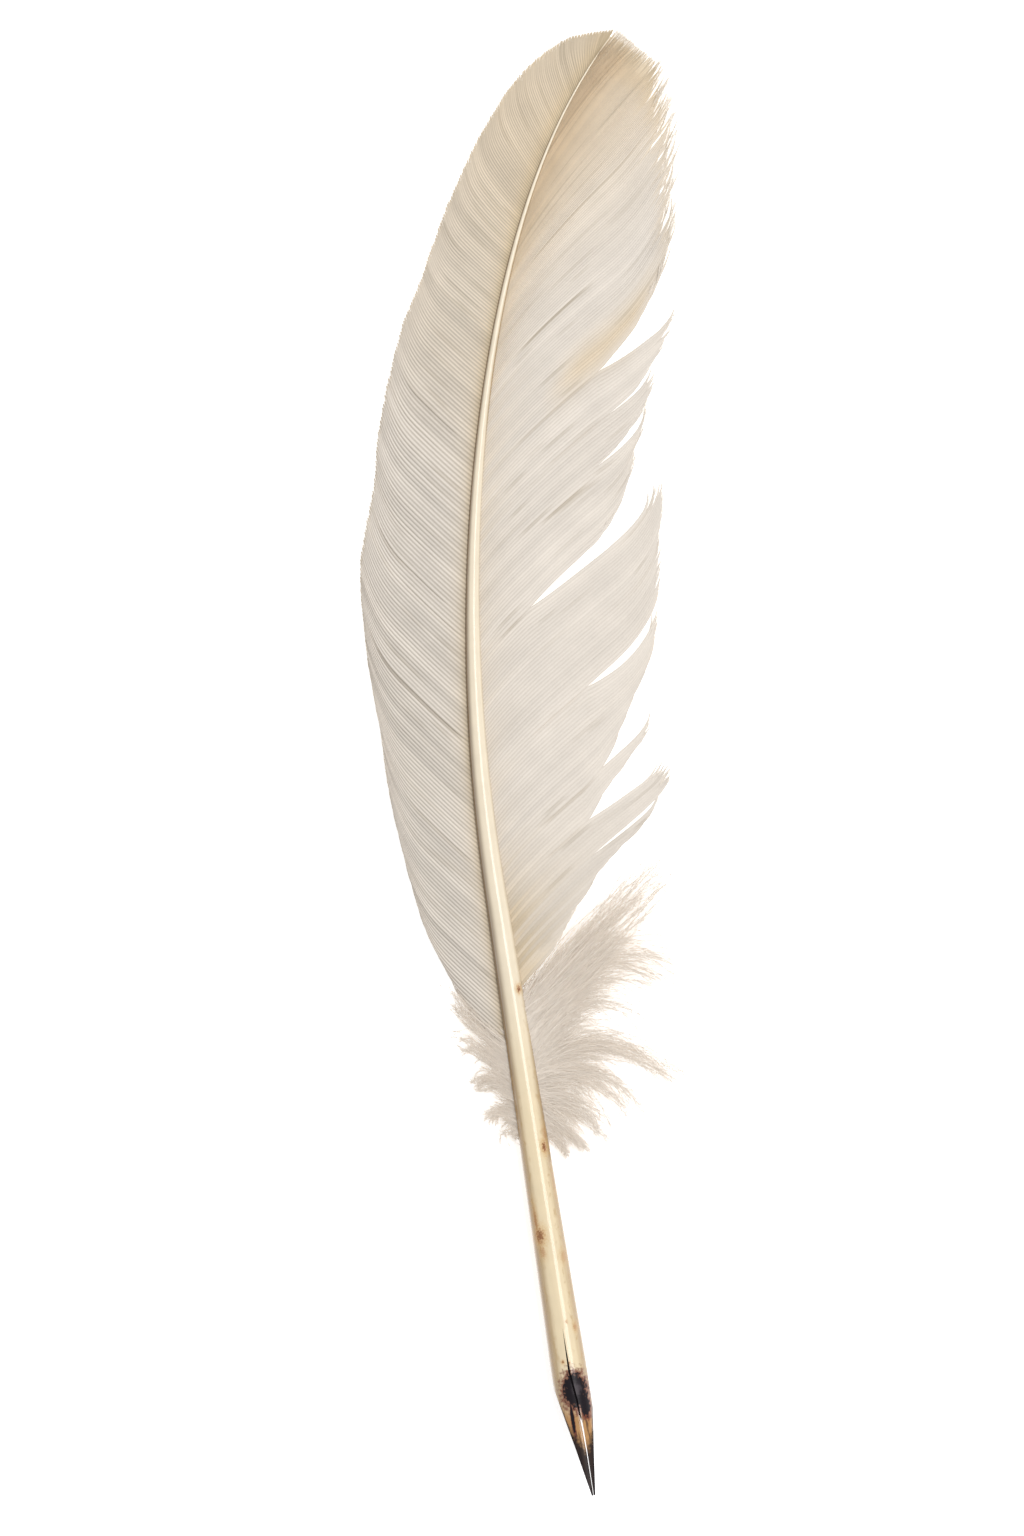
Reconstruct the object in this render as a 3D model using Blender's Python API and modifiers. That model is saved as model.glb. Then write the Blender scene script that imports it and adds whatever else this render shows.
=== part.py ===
"""A goose quill feather cut as a pen, lying with its upper side up.

It grew as one piece, so it is one solid: a hollow barrel cut to a nib, the rachis
that runs on from it and bends to the right, a narrow vane on the left, a wide vane
on the right that has split into locks, and tufts of down below both vanes.

Metres, +Z up. The barrel's axis runs along +Y with the nib at its near end, and the
origin is on the table under the middle of the feather's box. The shaft is measured
by s, the distance along it from the nib's point, and a vane by its distance from it.
"""

import math

import bmesh
import bpy
from mathutils import Matrix, Vector

MM = 0.001

# The shaft: a straight barrel, then a rachis that bends to the right.
SHAFT_LENGTH = 286 * MM
BARREL_END = 20 * MM
BEND_START = 118.5 * MM
BEND_EVEN = math.radians(27.8)
BEND_LATE = math.radians(18.3)
BEND_LATE_POWER = 5.6
SHAFT_RADIUS_TIP = 0.175 * MM
SHAFT_RADIUS_GAIN = 3.375 * MM
SHAFT_TAPER = 1.22
ARCH_START = 70 * MM
ARCH_HEIGHT = 6 * MM
ARCH_LEAN = 0.85
SHAFT_SIDES = 16
SHAFT_STEP = 8 * MM

# The pen cut: the hollow, the scoop below, the nib's two sides and the slit.
WALL = 0.7 * MM
HOLLOW_END = 62 * MM
SCOOP_END = 36 * MM
TONGUE_RISE = 0.8 * MM
SHOULDER_LEFT = (-3.45 * MM, 21 * MM)
SHOULDER_RIGHT = (3.75 * MM, 18.5 * MM)
NIB_POINT_X = 1.0 * MM
NIB_POINT_WIDTH = 0.7 * MM
SLIT_END = 32.6 * MM
SLIT_WIDTH = 0.4 * MM
SLIT_POINT_WIDTH = 0.16 * MM

# The vanes: where they start, how the barbs lean, and how far each one reaches.
VANE_THICKNESS = 0.5 * MM
RACHIS_STANDS = 0.15
VANE_START_LEFT = 84.5 * MM
VANE_START_RIGHT = 96 * MM
VANE_END = 282 * MM
BARB_END = 287.4 * MM
LEFT_LAST_BARB = 275 * MM
RIGHT_LAST_BARB = 258 * MM
TIP_HALF_WIDTH = 0.5 * MM
BARB_ROWS = 55
BARB_RIDGE = 0.1 * MM
RIDGE_FULL_AT = 2 * MM
LEFT_COLUMNS = 6
RIGHT_COLUMNS = 9
LEAN = {-1: math.radians(-36), 1: math.radians(57.5)}
LEAN_AT_SHAFT = {-1: math.radians(-7), 1: math.radians(-15)}
LEAN_FADE = 7 * MM
RIGHT_LEAN_LESS = math.radians(4)
RIGHT_LESS_START = 205 * MM
RIGHT_LESS_END = 240 * MM
LEFT_LEAN_AT_TIP = math.radians(44)
LEFT_TURN_START = 235 * MM
LEFT_TURN_END = 288 * MM
LEAST_LEAN = math.radians(9)
BEND_FROM = {-1: 0.62, 1: 0.70}
BEND_TO = 1.05
EDGE_WAVE = 0.35 * MM
EDGE_WAVE_PERIOD = 46 * MM
DROOP_POWER = 1.8

# Pairs of where a barb leaves the shaft and how far out it ends, in millimetres.
LEFT_REACH = (
    (84.5, 11), (90, 15.3), (96, 16.7), (105, 17.8), (120, 18.6), (132, 20.4), (147, 21.7),
    (153, 21.8), (162, 20.8), (171, 19.8), (183, 19.9), (195, 19.0), (207, 18.0), (219, 16.1),
    (231, 15.0), (249, 12.4), (258, 10.6), (264, 9.0), (270, 6.7), (276, 4.5), (282, 2.2), (286, 0.6),
)
RIGHT_REACH = (
    (96, 13), (98, 16), (100, 19.5), (102, 23), (103.3, 28), (104, 34), (106, 36.3), (110, 36.5), (112.4, 35.5),
    (112.6, 23), (115, 30), (117, 33.5), (118.4, 34.5),
    (118.6, 27), (122, 29.8), (125, 31.5), (127, 33.5), (129, 35.3), (133, 36), (135.9, 36),
    (136.1, 36.2), (144, 36.1), (151, 36.3), (156, 36), (158.6, 34.5),
    (158.8, 25), (161, 29), (164, 30.2), (169, 30.4), (172, 31.8), (174.3, 32.3),
    (174.5, 28), (177, 31.3), (180, 32), (183, 31.7),
    (183.2, 30.5), (186, 32), (190, 33.2), (193.1, 34),
    (193.3, 27.5), (194.5, 28.9), (196, 29.4), (199, 29.1), (202, 28.4), (206, 27.1), (212, 25.3), (219, 22.5),
    (227, 18.6), (235, 13.8), (239, 11.3), (244, 9.2), (248, 7.6), (253, 6.0), (258, 4.6), (267, 1.8), (286, 0.6),
)
RIGHT_ENVELOPE = (
    (96, 34), (132, 36.5), (156, 36.5), (174, 33), (192, 31.5), (213, 27),
    (231, 19.6), (249, 10), (267, 2.2), (286, 0.7),
)

# How far a barb's end bends towards the tip, in degrees, and how far out the bend is full.
END_BEND = {
    -1: ((84, 10), (100, 14), (205, 13), (245, 6), (275, 3)),
    1: (
        (96, 10), (104, 10), (108, 5), (112.4, -4), (112.6, 14), (118.4, 8), (118.6, 26), (150, 30),
        (158.6, 26), (158.8, 32), (174.3, 22), (174.5, 18), (183, 14), (193.1, 4), (193.3, 26), (205, 28),
        (236, 13), (258, 4),
    ),
}
BEND_FULL = {
    -1: LEFT_REACH,
    1: (
        (96, 34), (112, 36), (118.4, 36), (118.6, 31), (128, 35.5), (150, 36.5), (158.6, 35.5), (158.8, 30.3),
        (168, 30.5), (174.4, 32.4), (193.1, 34), (193.3, 30), (199, 29.1), (206, 27.1), (212, 25.3), (219, 22.5),
        (231, 17), (240, 12), (249, 8), (258, 5), (267, 2.2), (286, 0.7),
    ),
}

# Splits of the right vane: base on the shaft, distance of the root, opening up and down.
SPLITS = (
    (112.5 * MM, 19.6 * MM, 4.7 * MM, 2.0 * MM),
    (118.5 * MM, 22.8 * MM, 5.0 * MM, 0.5 * MM),
    (136.0 * MM, 21.4 * MM, 0.3 * MM, 3.0 * MM),
    (158.7 * MM, 10.9 * MM, 1.7 * MM, 2.0 * MM),
    (174.4 * MM, 22.8 * MM, 0.8 * MM, 1.0 * MM),
    (183.1 * MM, 23.0 * MM, 0.6 * MM, 1.0 * MM),
    (193.2 * MM, 20.9 * MM, 5.0 * MM, 3.5 * MM),
)
SPLIT_HALF_STEP = 0.16 * MM
SPLIT_GROWTH = 6 * MM
SPLIT_FADE = 6 * MM

# Down: where each tuft leaves the shaft, a point it passes, and its end, in millimetres.
DOWN_TUFTS = (
    (96, (14.0, 107.5), (23.0, 117.0)),
    (94, (13.3, 109.1), (30.2, 118.1)),
    (91, (14.6, 105.0), (29.5, 113.4)),
    (90, (18.1, 102.5), (31.2, 111.6)),
    (87, (16.1, 100.6), (31.6, 96.9)),
    (83, (14.8, 93.3), (26.1, 84.8)),
    (81, (15.5, 84.4), (28.8, 75.2)),
    (80, (12.6, 79.1), (19.5, 70.3)),
    (77, (9.7, 72.8), (13.8, 66.5)),
    (74, (6.3, 69.5), (9.2, 65.8)),
    (71, (4.6, 67.4), (5.8, 64.6)),
    (84, (-6.9, 90.9), (-11.0, 95.8)),
    (80, (-7.5, 87.1), (-10.5, 88.4)),
    (76, (-6.4, 80.4), (-9.0, 80.6)),
    (72, (-5.4, 74.6), (-7.3, 73.2)),
    (70, (-4.6, 70.6), (-5.5, 68.6)),
)
FILLER_SHORTENING = 0.8
TUFT_RADIUS_ROOT = 0.5 * MM
TUFT_RADIUS_SWELL = 0.9 * MM
TUFT_RADIUS_TIP = 0.3 * MM
TUFT_POINTS = 7
TUFT_END_HEIGHT = 0.7 * MM
TUFT_ARCH = 0.95

# Where the nib's point stands from the origin, which is under the middle of the box.
NIB_FROM_ORIGIN = Vector((-19.16 * MM, -138.46 * MM, 0))

HORN = ("horn", (0.80, 0.70, 0.50, 1), 0.28)
VANE = ("vane", (0.66, 0.60, 0.52, 1), 0.75)
DOWN = ("down", (0.74, 0.70, 0.65, 1), 0.9)


def reach_at(table, base):
    """Read a reach table, given in millimetres, at a base given in metres."""
    place = base / MM
    for (low, first), (high, second) in zip(table, table[1:]):
        if place <= high:
            share = max(0, (place - low) / (high - low))
            return (first + (second - first) * share) * MM
    return table[-1][1] * MM


def heading(s):
    """The shaft's direction at s, clockwise from the barrel's."""
    share = min(1, max(0, (s - BEND_START) / (SHAFT_LENGTH - BEND_START)))
    return BEND_EVEN * share + BEND_LATE * share ** BEND_LATE_POWER


def shaft_plan(s):
    """The shaft's axis in plan, by summing its direction past the straight barrel."""
    steps = 80
    straight = min(s, BEND_START)
    step = (s - straight) / steps
    x = 0
    y = straight
    for index in range(steps):
        angle = heading(straight + (index + 0.5) * step)
        x += math.sin(angle) * step
        y += math.cos(angle) * step
    return x, y


def shaft_radius(s):
    share = min(1, max(0, (s - BARREL_END) / (SHAFT_LENGTH - BARREL_END)))
    return SHAFT_RADIUS_TIP + SHAFT_RADIUS_GAIN * (1 - share) ** SHAFT_TAPER


def shaft_height(s):
    """The axis height: the barrel lies on the table and the rachis arches over it."""
    share = min(1, max(0, (s - ARCH_START) / (SHAFT_LENGTH - ARCH_START)))
    return shaft_radius(s) + ARCH_HEIGHT * math.sin(math.pi * share ** ARCH_LEAN) ** 2


def beside_shaft(s, offset, height):
    """A point at s, offset to the right of the shaft, at a height over the table."""
    x, y = shaft_plan(s)
    angle = heading(s)
    place = Vector((x + math.cos(angle) * offset, y - math.sin(angle) * offset, height))
    return place + NIB_FROM_ORIGIN


def smooth(value, low, high):
    """Rise from 0 at low to 1 at high, without corners."""
    share = min(1, max(0, (value - low) / (high - low)))
    return share * share * (3 - 2 * share)


def lean(side, base, s, distance):
    """A barb's direction in plan from the shaft's, clockwise, bending to the tip at its end."""
    share = distance / reach_at(BEND_FULL[side], base)
    bend = math.radians(reach_at(END_BEND[side], base) / MM) * smooth(share, BEND_FROM[side], BEND_TO)
    angle = LEAN[side] + LEAN_AT_SHAFT[side] * math.exp(-distance / LEAN_FADE) - side * bend
    if side > 0:
        angle -= RIGHT_LEAN_LESS * smooth(base, RIGHT_LESS_START, RIGHT_LESS_END)
    else:
        near_tip = min(1, max(0, (s - LEFT_TURN_START) / (LEFT_TURN_END - LEFT_TURN_START)))
        angle += LEFT_LEAN_AT_TIP * near_tip ** 1.3
    return side * max(LEAST_LEAN, side * (angle - heading(s)))


def barb_route(side, base, reach, count):
    """Points (s, distance) of a barb from the shaft to its reach, evenly spread."""
    step = 0.25 * MM
    s = base
    distance = 0
    route = [(s, distance)]
    while distance < reach and s < BARB_END:
        angle = lean(side, base, s, distance)
        s += math.cos(angle) * step
        distance += abs(math.sin(angle)) * step
        route.append((s, distance))
    last = len(route) - 1
    return [route[round(last * index / count)] for index in range(count + 1)]


def vane_route(side, base, count):
    """A row of the vane: a barb's route or, past the last barb, a line nearer the tip."""
    table = RIGHT_REACH if side > 0 else LEFT_REACH
    last = RIGHT_LAST_BARB if side > 0 else LEFT_LAST_BARB
    if base <= last:
        return barb_route(side, base, reach_at(table, base), count)
    share = (base - last) / (VANE_END - last)
    route = []
    for index, (s, distance) in enumerate(vane_route(side, last, count)):
        tip_s = VANE_END + (BARB_END - VANE_END) * index / count
        tip_distance = TIP_HALF_WIDTH * index / count
        route.append((s + (tip_s - s) * share, distance + (tip_distance - distance) * share))
    return route


def split_shift(base, distance):
    """How far the barb of this base is moved along the shaft by the splits near it."""
    shift = 0
    for split, root, up, down in SPLITS:
        if distance > root:
            grown = 1 - math.exp(-(distance - root) / SPLIT_GROWTH)
            fade = math.exp(-abs(base - split) / SPLIT_FADE)
            shift += (up if base > split else -down) * grown * fade
    return shift


def vane_height(side, base, s, distance):
    """Out from the rachis the vane droops to the table, in ridges along its barbs."""
    lowest = VANE_THICKNESS / 2 + BARB_RIDGE
    start = max(lowest, shaft_height(s) + RACHIS_STANDS * shaft_radius(s))
    table = RIGHT_ENVELOPE if side > 0 else LEFT_REACH
    share = min(1, distance / reach_at(table, base))
    wave = EDGE_WAVE * (1 + math.sin(base / EDGE_WAVE_PERIOD * math.tau + side))
    edge = lowest + wave
    turns = (base - VANE_START_LEFT) / (VANE_END - VANE_START_LEFT) * BARB_ROWS
    ridge = BARB_RIDGE * math.cos(math.pi * turns) * min(1, distance / RIDGE_FULL_AT)
    return start + (edge - start) * share ** DROOP_POWER + ridge


def vane_rows():
    """Bases of the rows of barbs: evenly spread, with a close pair at each split."""
    length = VANE_END - VANE_START_LEFT
    even = [VANE_START_LEFT + length * row / BARB_ROWS for row in range(BARB_ROWS + 1)]
    splits = [split for split, root, up, down in SPLITS] + [VANE_START_RIGHT]
    rows = [base for base in even if all(abs(base - split) > 1.1 * MM for split in splits)]
    for split, root, up, down in SPLITS:
        rows += [split - SPLIT_HALF_STEP, split + SPLIT_HALF_STEP]
    return sorted(rows + [VANE_START_RIGHT])


def material(look):
    name, colour, roughness = look
    result = bpy.data.materials.new(name)
    result.use_nodes = True
    shader = result.node_tree.nodes["Principled BSDF"]
    shader.inputs["Base Color"].default_value = colour
    shader.inputs["Roughness"].default_value = roughness
    shader.inputs["Metallic"].default_value = 0
    return result


def add_object(name, mesh, collection, look):
    result = bpy.data.objects.new(name, mesh)
    mesh.materials.clear()
    mesh.materials.append(look)
    collection.objects.link(result)
    return result


def hide(guide):
    guide.hide_render = True
    guide.display_type = "WIRE"


def tube_mesh(name, points, radii, sides):
    """A closed tube through the points: a bevelled curve made a mesh, its caps welded."""
    curve = bpy.data.curves.new(name, "CURVE")
    curve.dimensions = "3D"
    curve.bevel_depth = 1
    curve.bevel_resolution = (sides - 4) // 2
    curve.use_fill_caps = True
    spline = curve.splines.new("POLY")
    spline.points.add(len(points) - 1)
    for spot, point, radius in zip(spline.points, points, radii):
        spot.co = (*point, 1)
        spot.radius = radius
    return curve_to_mesh(name, curve)


def outline_mesh(name, outline, low, high):
    """A flat outline in plan, raised from one height to another."""
    curve = bpy.data.curves.new(name, "CURVE")
    curve.dimensions = "2D"
    curve.fill_mode = "BOTH"
    curve.extrude = (high - low) / 2
    spline = curve.splines.new("POLY")
    spline.points.add(len(outline) - 1)
    spline.use_cyclic_u = True
    for spot, (x, y) in zip(spline.points, outline):
        spot.co = (x, y, 0, 1)
    mesh = curve_to_mesh(name, curve)
    middle = Vector((0, 0, (low + high) / 2))
    mesh.transform(Matrix.Translation(NIB_FROM_ORIGIN + middle))
    return mesh


def curve_to_mesh(name, curve):
    holder = bpy.data.objects.new(name + " curve", curve)
    bpy.context.scene.collection.objects.link(holder)
    bpy.context.view_layer.update()
    graph = bpy.context.evaluated_depsgraph_get()
    mesh = bpy.data.meshes.new_from_object(holder.evaluated_get(graph))
    bpy.data.objects.remove(holder)
    bpy.data.curves.remove(curve)
    mesh.name = name
    shape = bmesh.new()
    shape.from_mesh(mesh)
    bmesh.ops.remove_doubles(shape, verts=shape.verts, dist=0.01 * MM)
    bmesh.ops.recalc_face_normals(shape, faces=shape.faces)
    shape.to_mesh(mesh)
    shape.free()
    return mesh


def shaft_stations(first, last):
    count = round((last - first) / SHAFT_STEP)
    return [first + (last - first) * index / count for index in range(count + 1)]


def make_shaft(collection, look):
    stations = shaft_stations(0, SHAFT_LENGTH)
    points = [beside_shaft(s, 0, shaft_height(s)) for s in stations]
    mesh = tube_mesh("feather", points, [shaft_radius(s) for s in stations], SHAFT_SIDES)
    return add_object("feather", mesh, collection, look)


def make_hollow(collection, look):
    """The bore of the barrel, a wall's thickness inside it and open at the nib."""
    stations = [-5 * MM] + shaft_stations(BARREL_END, HOLLOW_END)
    points = [beside_shaft(s, 0, shaft_height(s)) for s in stations]
    radii = [shaft_radius(s) - WALL for s in stations]
    return add_object("hollow cut", tube_mesh("hollow cut", points, radii, SHAFT_SIDES), collection, look)


def make_scoop(collection, look):
    """The long cut from below, which leaves only the barrel's top over the nib."""
    top = shaft_height(BARREL_END) + TONGUE_RISE
    outline = [(-5 * MM, -2 * MM), (SCOOP_END + 3 * MM, -2 * MM)]
    arc_steps = 6
    for index in range(arc_steps + 1):
        share = index / arc_steps
        reach = SCOOP_END + (BARREL_END + 1 * MM - SCOOP_END) * share
        outline.append((reach, top * (1 - (1 - share) ** 1.5)))
    outline.append((-5 * MM, top))
    shape = bmesh.new()
    ring = [shape.verts.new(NIB_FROM_ORIGIN + Vector((-6 * MM, y, z))) for y, z in outline]
    face = shape.faces.new(ring)
    grown = bmesh.ops.extrude_face_region(shape, geom=[face])
    moved = [item for item in grown["geom"] if isinstance(item, bmesh.types.BMVert)]
    bmesh.ops.translate(shape, verts=moved, vec=(12 * MM, 0, 0))
    bmesh.ops.recalc_face_normals(shape, faces=shape.faces)
    mesh = bpy.data.meshes.new("scoop cut")
    shape.to_mesh(mesh)
    shape.free()
    return add_object("scoop cut", mesh, collection, look)


def make_nib_side(name, shoulder, side, collection, look):
    """What is cut away on one side of the nib."""
    point_x = NIB_POINT_X + side * NIB_POINT_WIDTH / 2
    outline = (
        shoulder,
        (point_x, 0),
        (point_x, -2 * MM),
        (side * 7 * MM, -2 * MM),
        (side * 7 * MM, shoulder[1] + 0.5 * MM),
    )
    mesh = outline_mesh(name, outline, -1 * MM, 9 * MM)
    return add_object(name, mesh, collection, look)


def make_slit(collection, look):
    outline = (
        (0, SLIT_END),
        (SLIT_WIDTH / 2, 24 * MM),
        (0.95 * MM, 18.5 * MM),
        (NIB_POINT_X + SLIT_POINT_WIDTH / 2, 8 * MM),
        (NIB_POINT_X + SLIT_POINT_WIDTH / 2, -1 * MM),
        (NIB_POINT_X - SLIT_POINT_WIDTH / 2, -1 * MM),
        (NIB_POINT_X - SLIT_POINT_WIDTH / 2, 8 * MM),
        (0.35 * MM, 18.5 * MM),
        (-SLIT_WIDTH / 2, 24 * MM),
    )
    mesh = outline_mesh("slit cut", outline, shaft_height(BARREL_END), 9 * MM)
    return add_object("slit cut", mesh, collection, look)


def make_vanes(collection, look):
    """Both vanes as one grid across the rachis, a row for each barb, given a thickness."""
    rows = vane_rows()
    columns = LEFT_COLUMNS + RIGHT_COLUMNS
    shape = bmesh.new()
    bmesh.ops.create_grid(shape, x_segments=columns, y_segments=len(rows) - 1, size=1)
    routes = {}
    for row, base in enumerate(rows):
        routes[row, -1] = vane_route(-1, base, LEFT_COLUMNS)
        routes[row, 1] = vane_route(1, base, RIGHT_COLUMNS)
    cells = {}
    for vertex in shape.verts:
        row = round((vertex.co.y + 1) / 2 * (len(rows) - 1))
        column = round((vertex.co.x + 1) / 2 * columns) - LEFT_COLUMNS
        side = 1 if column > 0 else -1
        s, distance = routes[row, side][abs(column)]
        cells[vertex] = (row, column, distance)
        height = vane_height(side, rows[row], s, distance)
        if side > 0:
            s += split_shift(rows[row], distance)
        vertex.co = beside_shaft(s, side * distance, height)
    open_faces = []
    for face in shape.faces:
        corners = [cells[vertex] for vertex in face.verts]
        first = min(corner[0] for corner in corners)
        on_right = max(corner[1] for corner in corners) > 0
        nearest = min(corner[2] for corner in corners)
        base = (rows[first] + rows[first + 1]) / 2
        below_vane = base < VANE_START_RIGHT
        in_split = any(abs(base - split) < SPLIT_HALF_STEP and nearest > root for split, root, up, down in SPLITS)
        if on_right and (below_vane or in_split):
            open_faces.append(face)
    bmesh.ops.delete(shape, geom=open_faces, context="FACES")
    mesh = bpy.data.meshes.new("vanes")
    shape.to_mesh(mesh)
    shape.free()
    vanes = add_object("vanes", mesh, collection, look)
    wall = vanes.modifiers.new("thickness", "SOLIDIFY")
    wall.thickness = VANE_THICKNESS
    wall.offset = 0
    return vanes


def halfway(first, second):
    """A shorter tuft between two neighbours, to close up the down."""
    base = (first[0] + second[0]) / 2
    points = []
    for one, other in zip(first[1:], second[1:]):
        x = (one[0] + other[0]) / 2
        y = (one[1] + other[1]) / 2
        points.append((x * FILLER_SHORTENING, base + (y - base) * FILLER_SHORTENING))
    return base, *points


def all_tufts():
    tufts = list(DOWN_TUFTS)
    for first, second in zip(DOWN_TUFTS, DOWN_TUFTS[1:]):
        if first[2][0] * second[2][0] > 0:
            tufts.append(halfway(first, second))
    return tufts


def make_tuft(index, tuft, collection, look):
    """One lock of down: a tapered strand that leaves the shaft and sinks to the table."""
    base = tuft[0] * MM
    passed = Vector(tuft[1]) * MM
    end = Vector(tuft[2]) * MM
    side = math.copysign(1, end.x)
    start = Vector((side * 0.4 * shaft_radius(base), base))
    control = 2 * passed - (start + end) / 2
    high = shaft_height(base)
    points = []
    radii = []
    for step in range(TUFT_POINTS):
        share = step / (TUFT_POINTS - 1)
        near = (1 - share) ** 2
        middle = 2 * share * (1 - share)
        far = share ** 2
        flat = start * near + control * middle + end * far
        height = high * near + high * TUFT_ARCH * middle + TUFT_END_HEIGHT * far
        points.append(Vector((flat.x, flat.y, height)) + NIB_FROM_ORIGIN)
        swell = TUFT_RADIUS_SWELL * math.sin(math.pi * share)
        radii.append(TUFT_RADIUS_ROOT + (TUFT_RADIUS_TIP - TUFT_RADIUS_ROOT) * share + swell)
    name = "tuft %02d" % index
    return add_object(name, tube_mesh(name, points, radii, 6), collection, look)


def boolean(target, name, operation, operand):
    step = target.modifiers.new(name, "BOOLEAN")
    step.operation = operation
    step.solver = "EXACT"
    step.material_mode = "TRANSFER"
    if isinstance(operand, bpy.types.Collection):
        step.operand_type = "COLLECTION"
        step.collection = operand
    else:
        step.object = operand


def main():
    for leftover in list(bpy.data.objects):
        bpy.data.objects.remove(leftover)
    scene = bpy.context.scene.collection
    model = bpy.data.collections.new("goose quill feather")
    cutters = bpy.data.collections.new("cutters")
    growth = bpy.data.collections.new("growth")
    for collection in (model, cutters, growth):
        scene.children.link(collection)
    horn = material(HORN)
    web = material(VANE)
    fluff = material(DOWN)

    feather = make_shaft(model, horn)
    cuts = [
        make_hollow(cutters, horn),
        make_scoop(cutters, horn),
        make_nib_side("left cut", SHOULDER_LEFT, -1, cutters, horn),
        make_nib_side("right cut", SHOULDER_RIGHT, 1, cutters, horn),
        make_slit(cutters, horn),
    ]
    for cut in cuts:
        boolean(feather, cut.name, "DIFFERENCE", cut)
        hide(cut)
    hide(make_vanes(growth, web))
    for index, tuft in enumerate(all_tufts()):
        hide(make_tuft(index, tuft, growth, fluff))
    boolean(feather, "growth", "UNION", growth)


main()
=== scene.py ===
"""A goose quill feather around its CAD frame: horn shaft, two vanes, fringes and down.

Metres, +Z up. The barrel's axis runs along +Y with the nib at its near end. The shaft is
measured by s, the distance along it from the nib's point, and a vane by its distance from it.
"""

import functools
import math

import bmesh
import bpy
import numpy as np
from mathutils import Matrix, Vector


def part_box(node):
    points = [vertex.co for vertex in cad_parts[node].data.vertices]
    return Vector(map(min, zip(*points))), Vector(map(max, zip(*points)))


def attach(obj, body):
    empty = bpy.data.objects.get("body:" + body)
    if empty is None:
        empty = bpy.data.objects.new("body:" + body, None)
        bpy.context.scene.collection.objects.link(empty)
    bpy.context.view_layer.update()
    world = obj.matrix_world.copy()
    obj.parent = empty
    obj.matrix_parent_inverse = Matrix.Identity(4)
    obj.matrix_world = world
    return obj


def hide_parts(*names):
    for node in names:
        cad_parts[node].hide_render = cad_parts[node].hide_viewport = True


bl_info = {
    "name": "Goose quill feather",
    "version": (1, 0, 0),
    "blender": (4, 5, 0),
    "location": "3D View > Sidebar > Feather",
    "description": "Makes a cut quill: horn shaft, two vanes of barbs, their fringes and the down",
    "category": "Add Mesh",
}

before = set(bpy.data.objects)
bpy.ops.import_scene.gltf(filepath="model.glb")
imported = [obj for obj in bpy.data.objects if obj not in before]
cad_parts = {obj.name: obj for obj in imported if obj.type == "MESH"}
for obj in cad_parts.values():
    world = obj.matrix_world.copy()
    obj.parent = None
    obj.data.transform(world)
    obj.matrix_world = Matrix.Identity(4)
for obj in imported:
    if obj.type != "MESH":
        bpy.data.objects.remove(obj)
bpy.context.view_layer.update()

MM = 0.001
NIB = np.array((-19.16 * MM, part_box("feather")[0].y, 0))

# The shaft, as in the CAD model.
SHAFT_LENGTH = 286 * MM
BARREL_END = 20 * MM
BEND_START = 118.5 * MM
BEND_EVEN = math.radians(27.8)
BEND_LATE = math.radians(18.3)
BEND_LATE_POWER = 5.6
SHAFT_RADIUS_TIP = 0.175 * MM
SHAFT_RADIUS_GAIN = 3.375 * MM
SHAFT_TAPER = 1.22
ARCH_START = 70 * MM
ARCH_HEIGHT = 6 * MM
ARCH_LEAN = 0.85

# The pen cut.
HOLLOW_END = 62 * MM
SCOOP_END = 36 * MM
TONGUE_RISE = 0.8 * MM
SCOOP_CURVE = 1.5
GROOVE_START = 88 * MM
FINE_STEP = 2 * MM
SHOULDER_LEFT = (-3.45 * MM, 21 * MM)
SHOULDER_RIGHT = (3.75 * MM, 18.5 * MM)
NIB_POINT_X = 1.0 * MM
NIB_POINT_WIDTH = 0.7 * MM
NIB_HOLLOW = (0.42, 0.45)
CUTTER_REACH = 7 * MM
CUTTER_HEIGHT = 10 * MM
PAST_POINT = 5 * MM
BELOW_TABLE = 1.5 * MM
SLIT_OUTLINE = (
    (0, 32.6), (0.2, 24), (0.80, 18.5), (1.04, 13), (1.06, 8), (1.03, -1),
    (0.97, -1), (0.94, 8), (0.78, 13), (0.42, 18.5), (-0.2, 24),
)
# A dark sheet under the slit: it stands in for the shade inside the barrel that shows through the
# slit.
SLIT_SHADE_OUTLINE = (
    (-0.35, 33.2), (0.35, 33.2), (0.6, 24), (1.2, 18.5), (1.1, 15.2),
    (0.85, 14.4), (0.6, 15.6), (0.1, 18.5), (-0.6, 24),
)
SLIT_SHADE_THICKNESS = 0.3 * MM

# Brown spots of the horn, in mm: centre, radii and strength.
SPOTS = (
    ((1.6, 97.6), (0.38, 0.7), 0.85),
    ((1.8, 67.0), (0.45, 1.1), 0.8),
    ((2.2, 69.4), (0.3, 1.6), 0.35),
    ((-1.6, 50.3), (0.85, 1.5), 0.75),
    ((-1.95, 53.3), (0.35, 2.4), 0.55),
    ((-1.5, 47.3), (0.5, 1.2), 0.5),
    ((2.3, 45.7), (0.6, 1.1), 0.35),
    ((2.4, 32.2), (0.35, 0.8), 0.5),
    ((0.9, 33.5), (0.2, 0.3), 0.6),
    ((-0.9, 26.0), (0.25, 0.3), 0.7),
    ((0.3, 25.7), (0.2, 0.3), 0.6),
    ((2.6, 60.0), (0.25, 1.8), 0.25),
)
HALO = (0.58, 0.34, 0.10)
SPOT_CORE = (0.12, 0.03, 0.006)

# Blots of the ink stain, in mm: centre, radii and how ragged the edge is.
STAIN = (
    ((0.55, 20.3), (2.35, 3.5), 1),
    ((2.0, 17.2), (1.0, 2.3), 1),
    ((-0.72, 15.0), (0.32, 3.2), 0.6),
)
TOASTED = (0.40, 0.185, 0.045)
DARK_GRAIN = (0.075, 0.028, 0.012)
STAIN_RIM = (0.16, 0.035, 0.018)
# Painted sheen: a greyer patch on the ink stain stands in for its gloss.
PAINTED_INK_SHEEN = (0.22, 0.18, 0.20)

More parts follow.
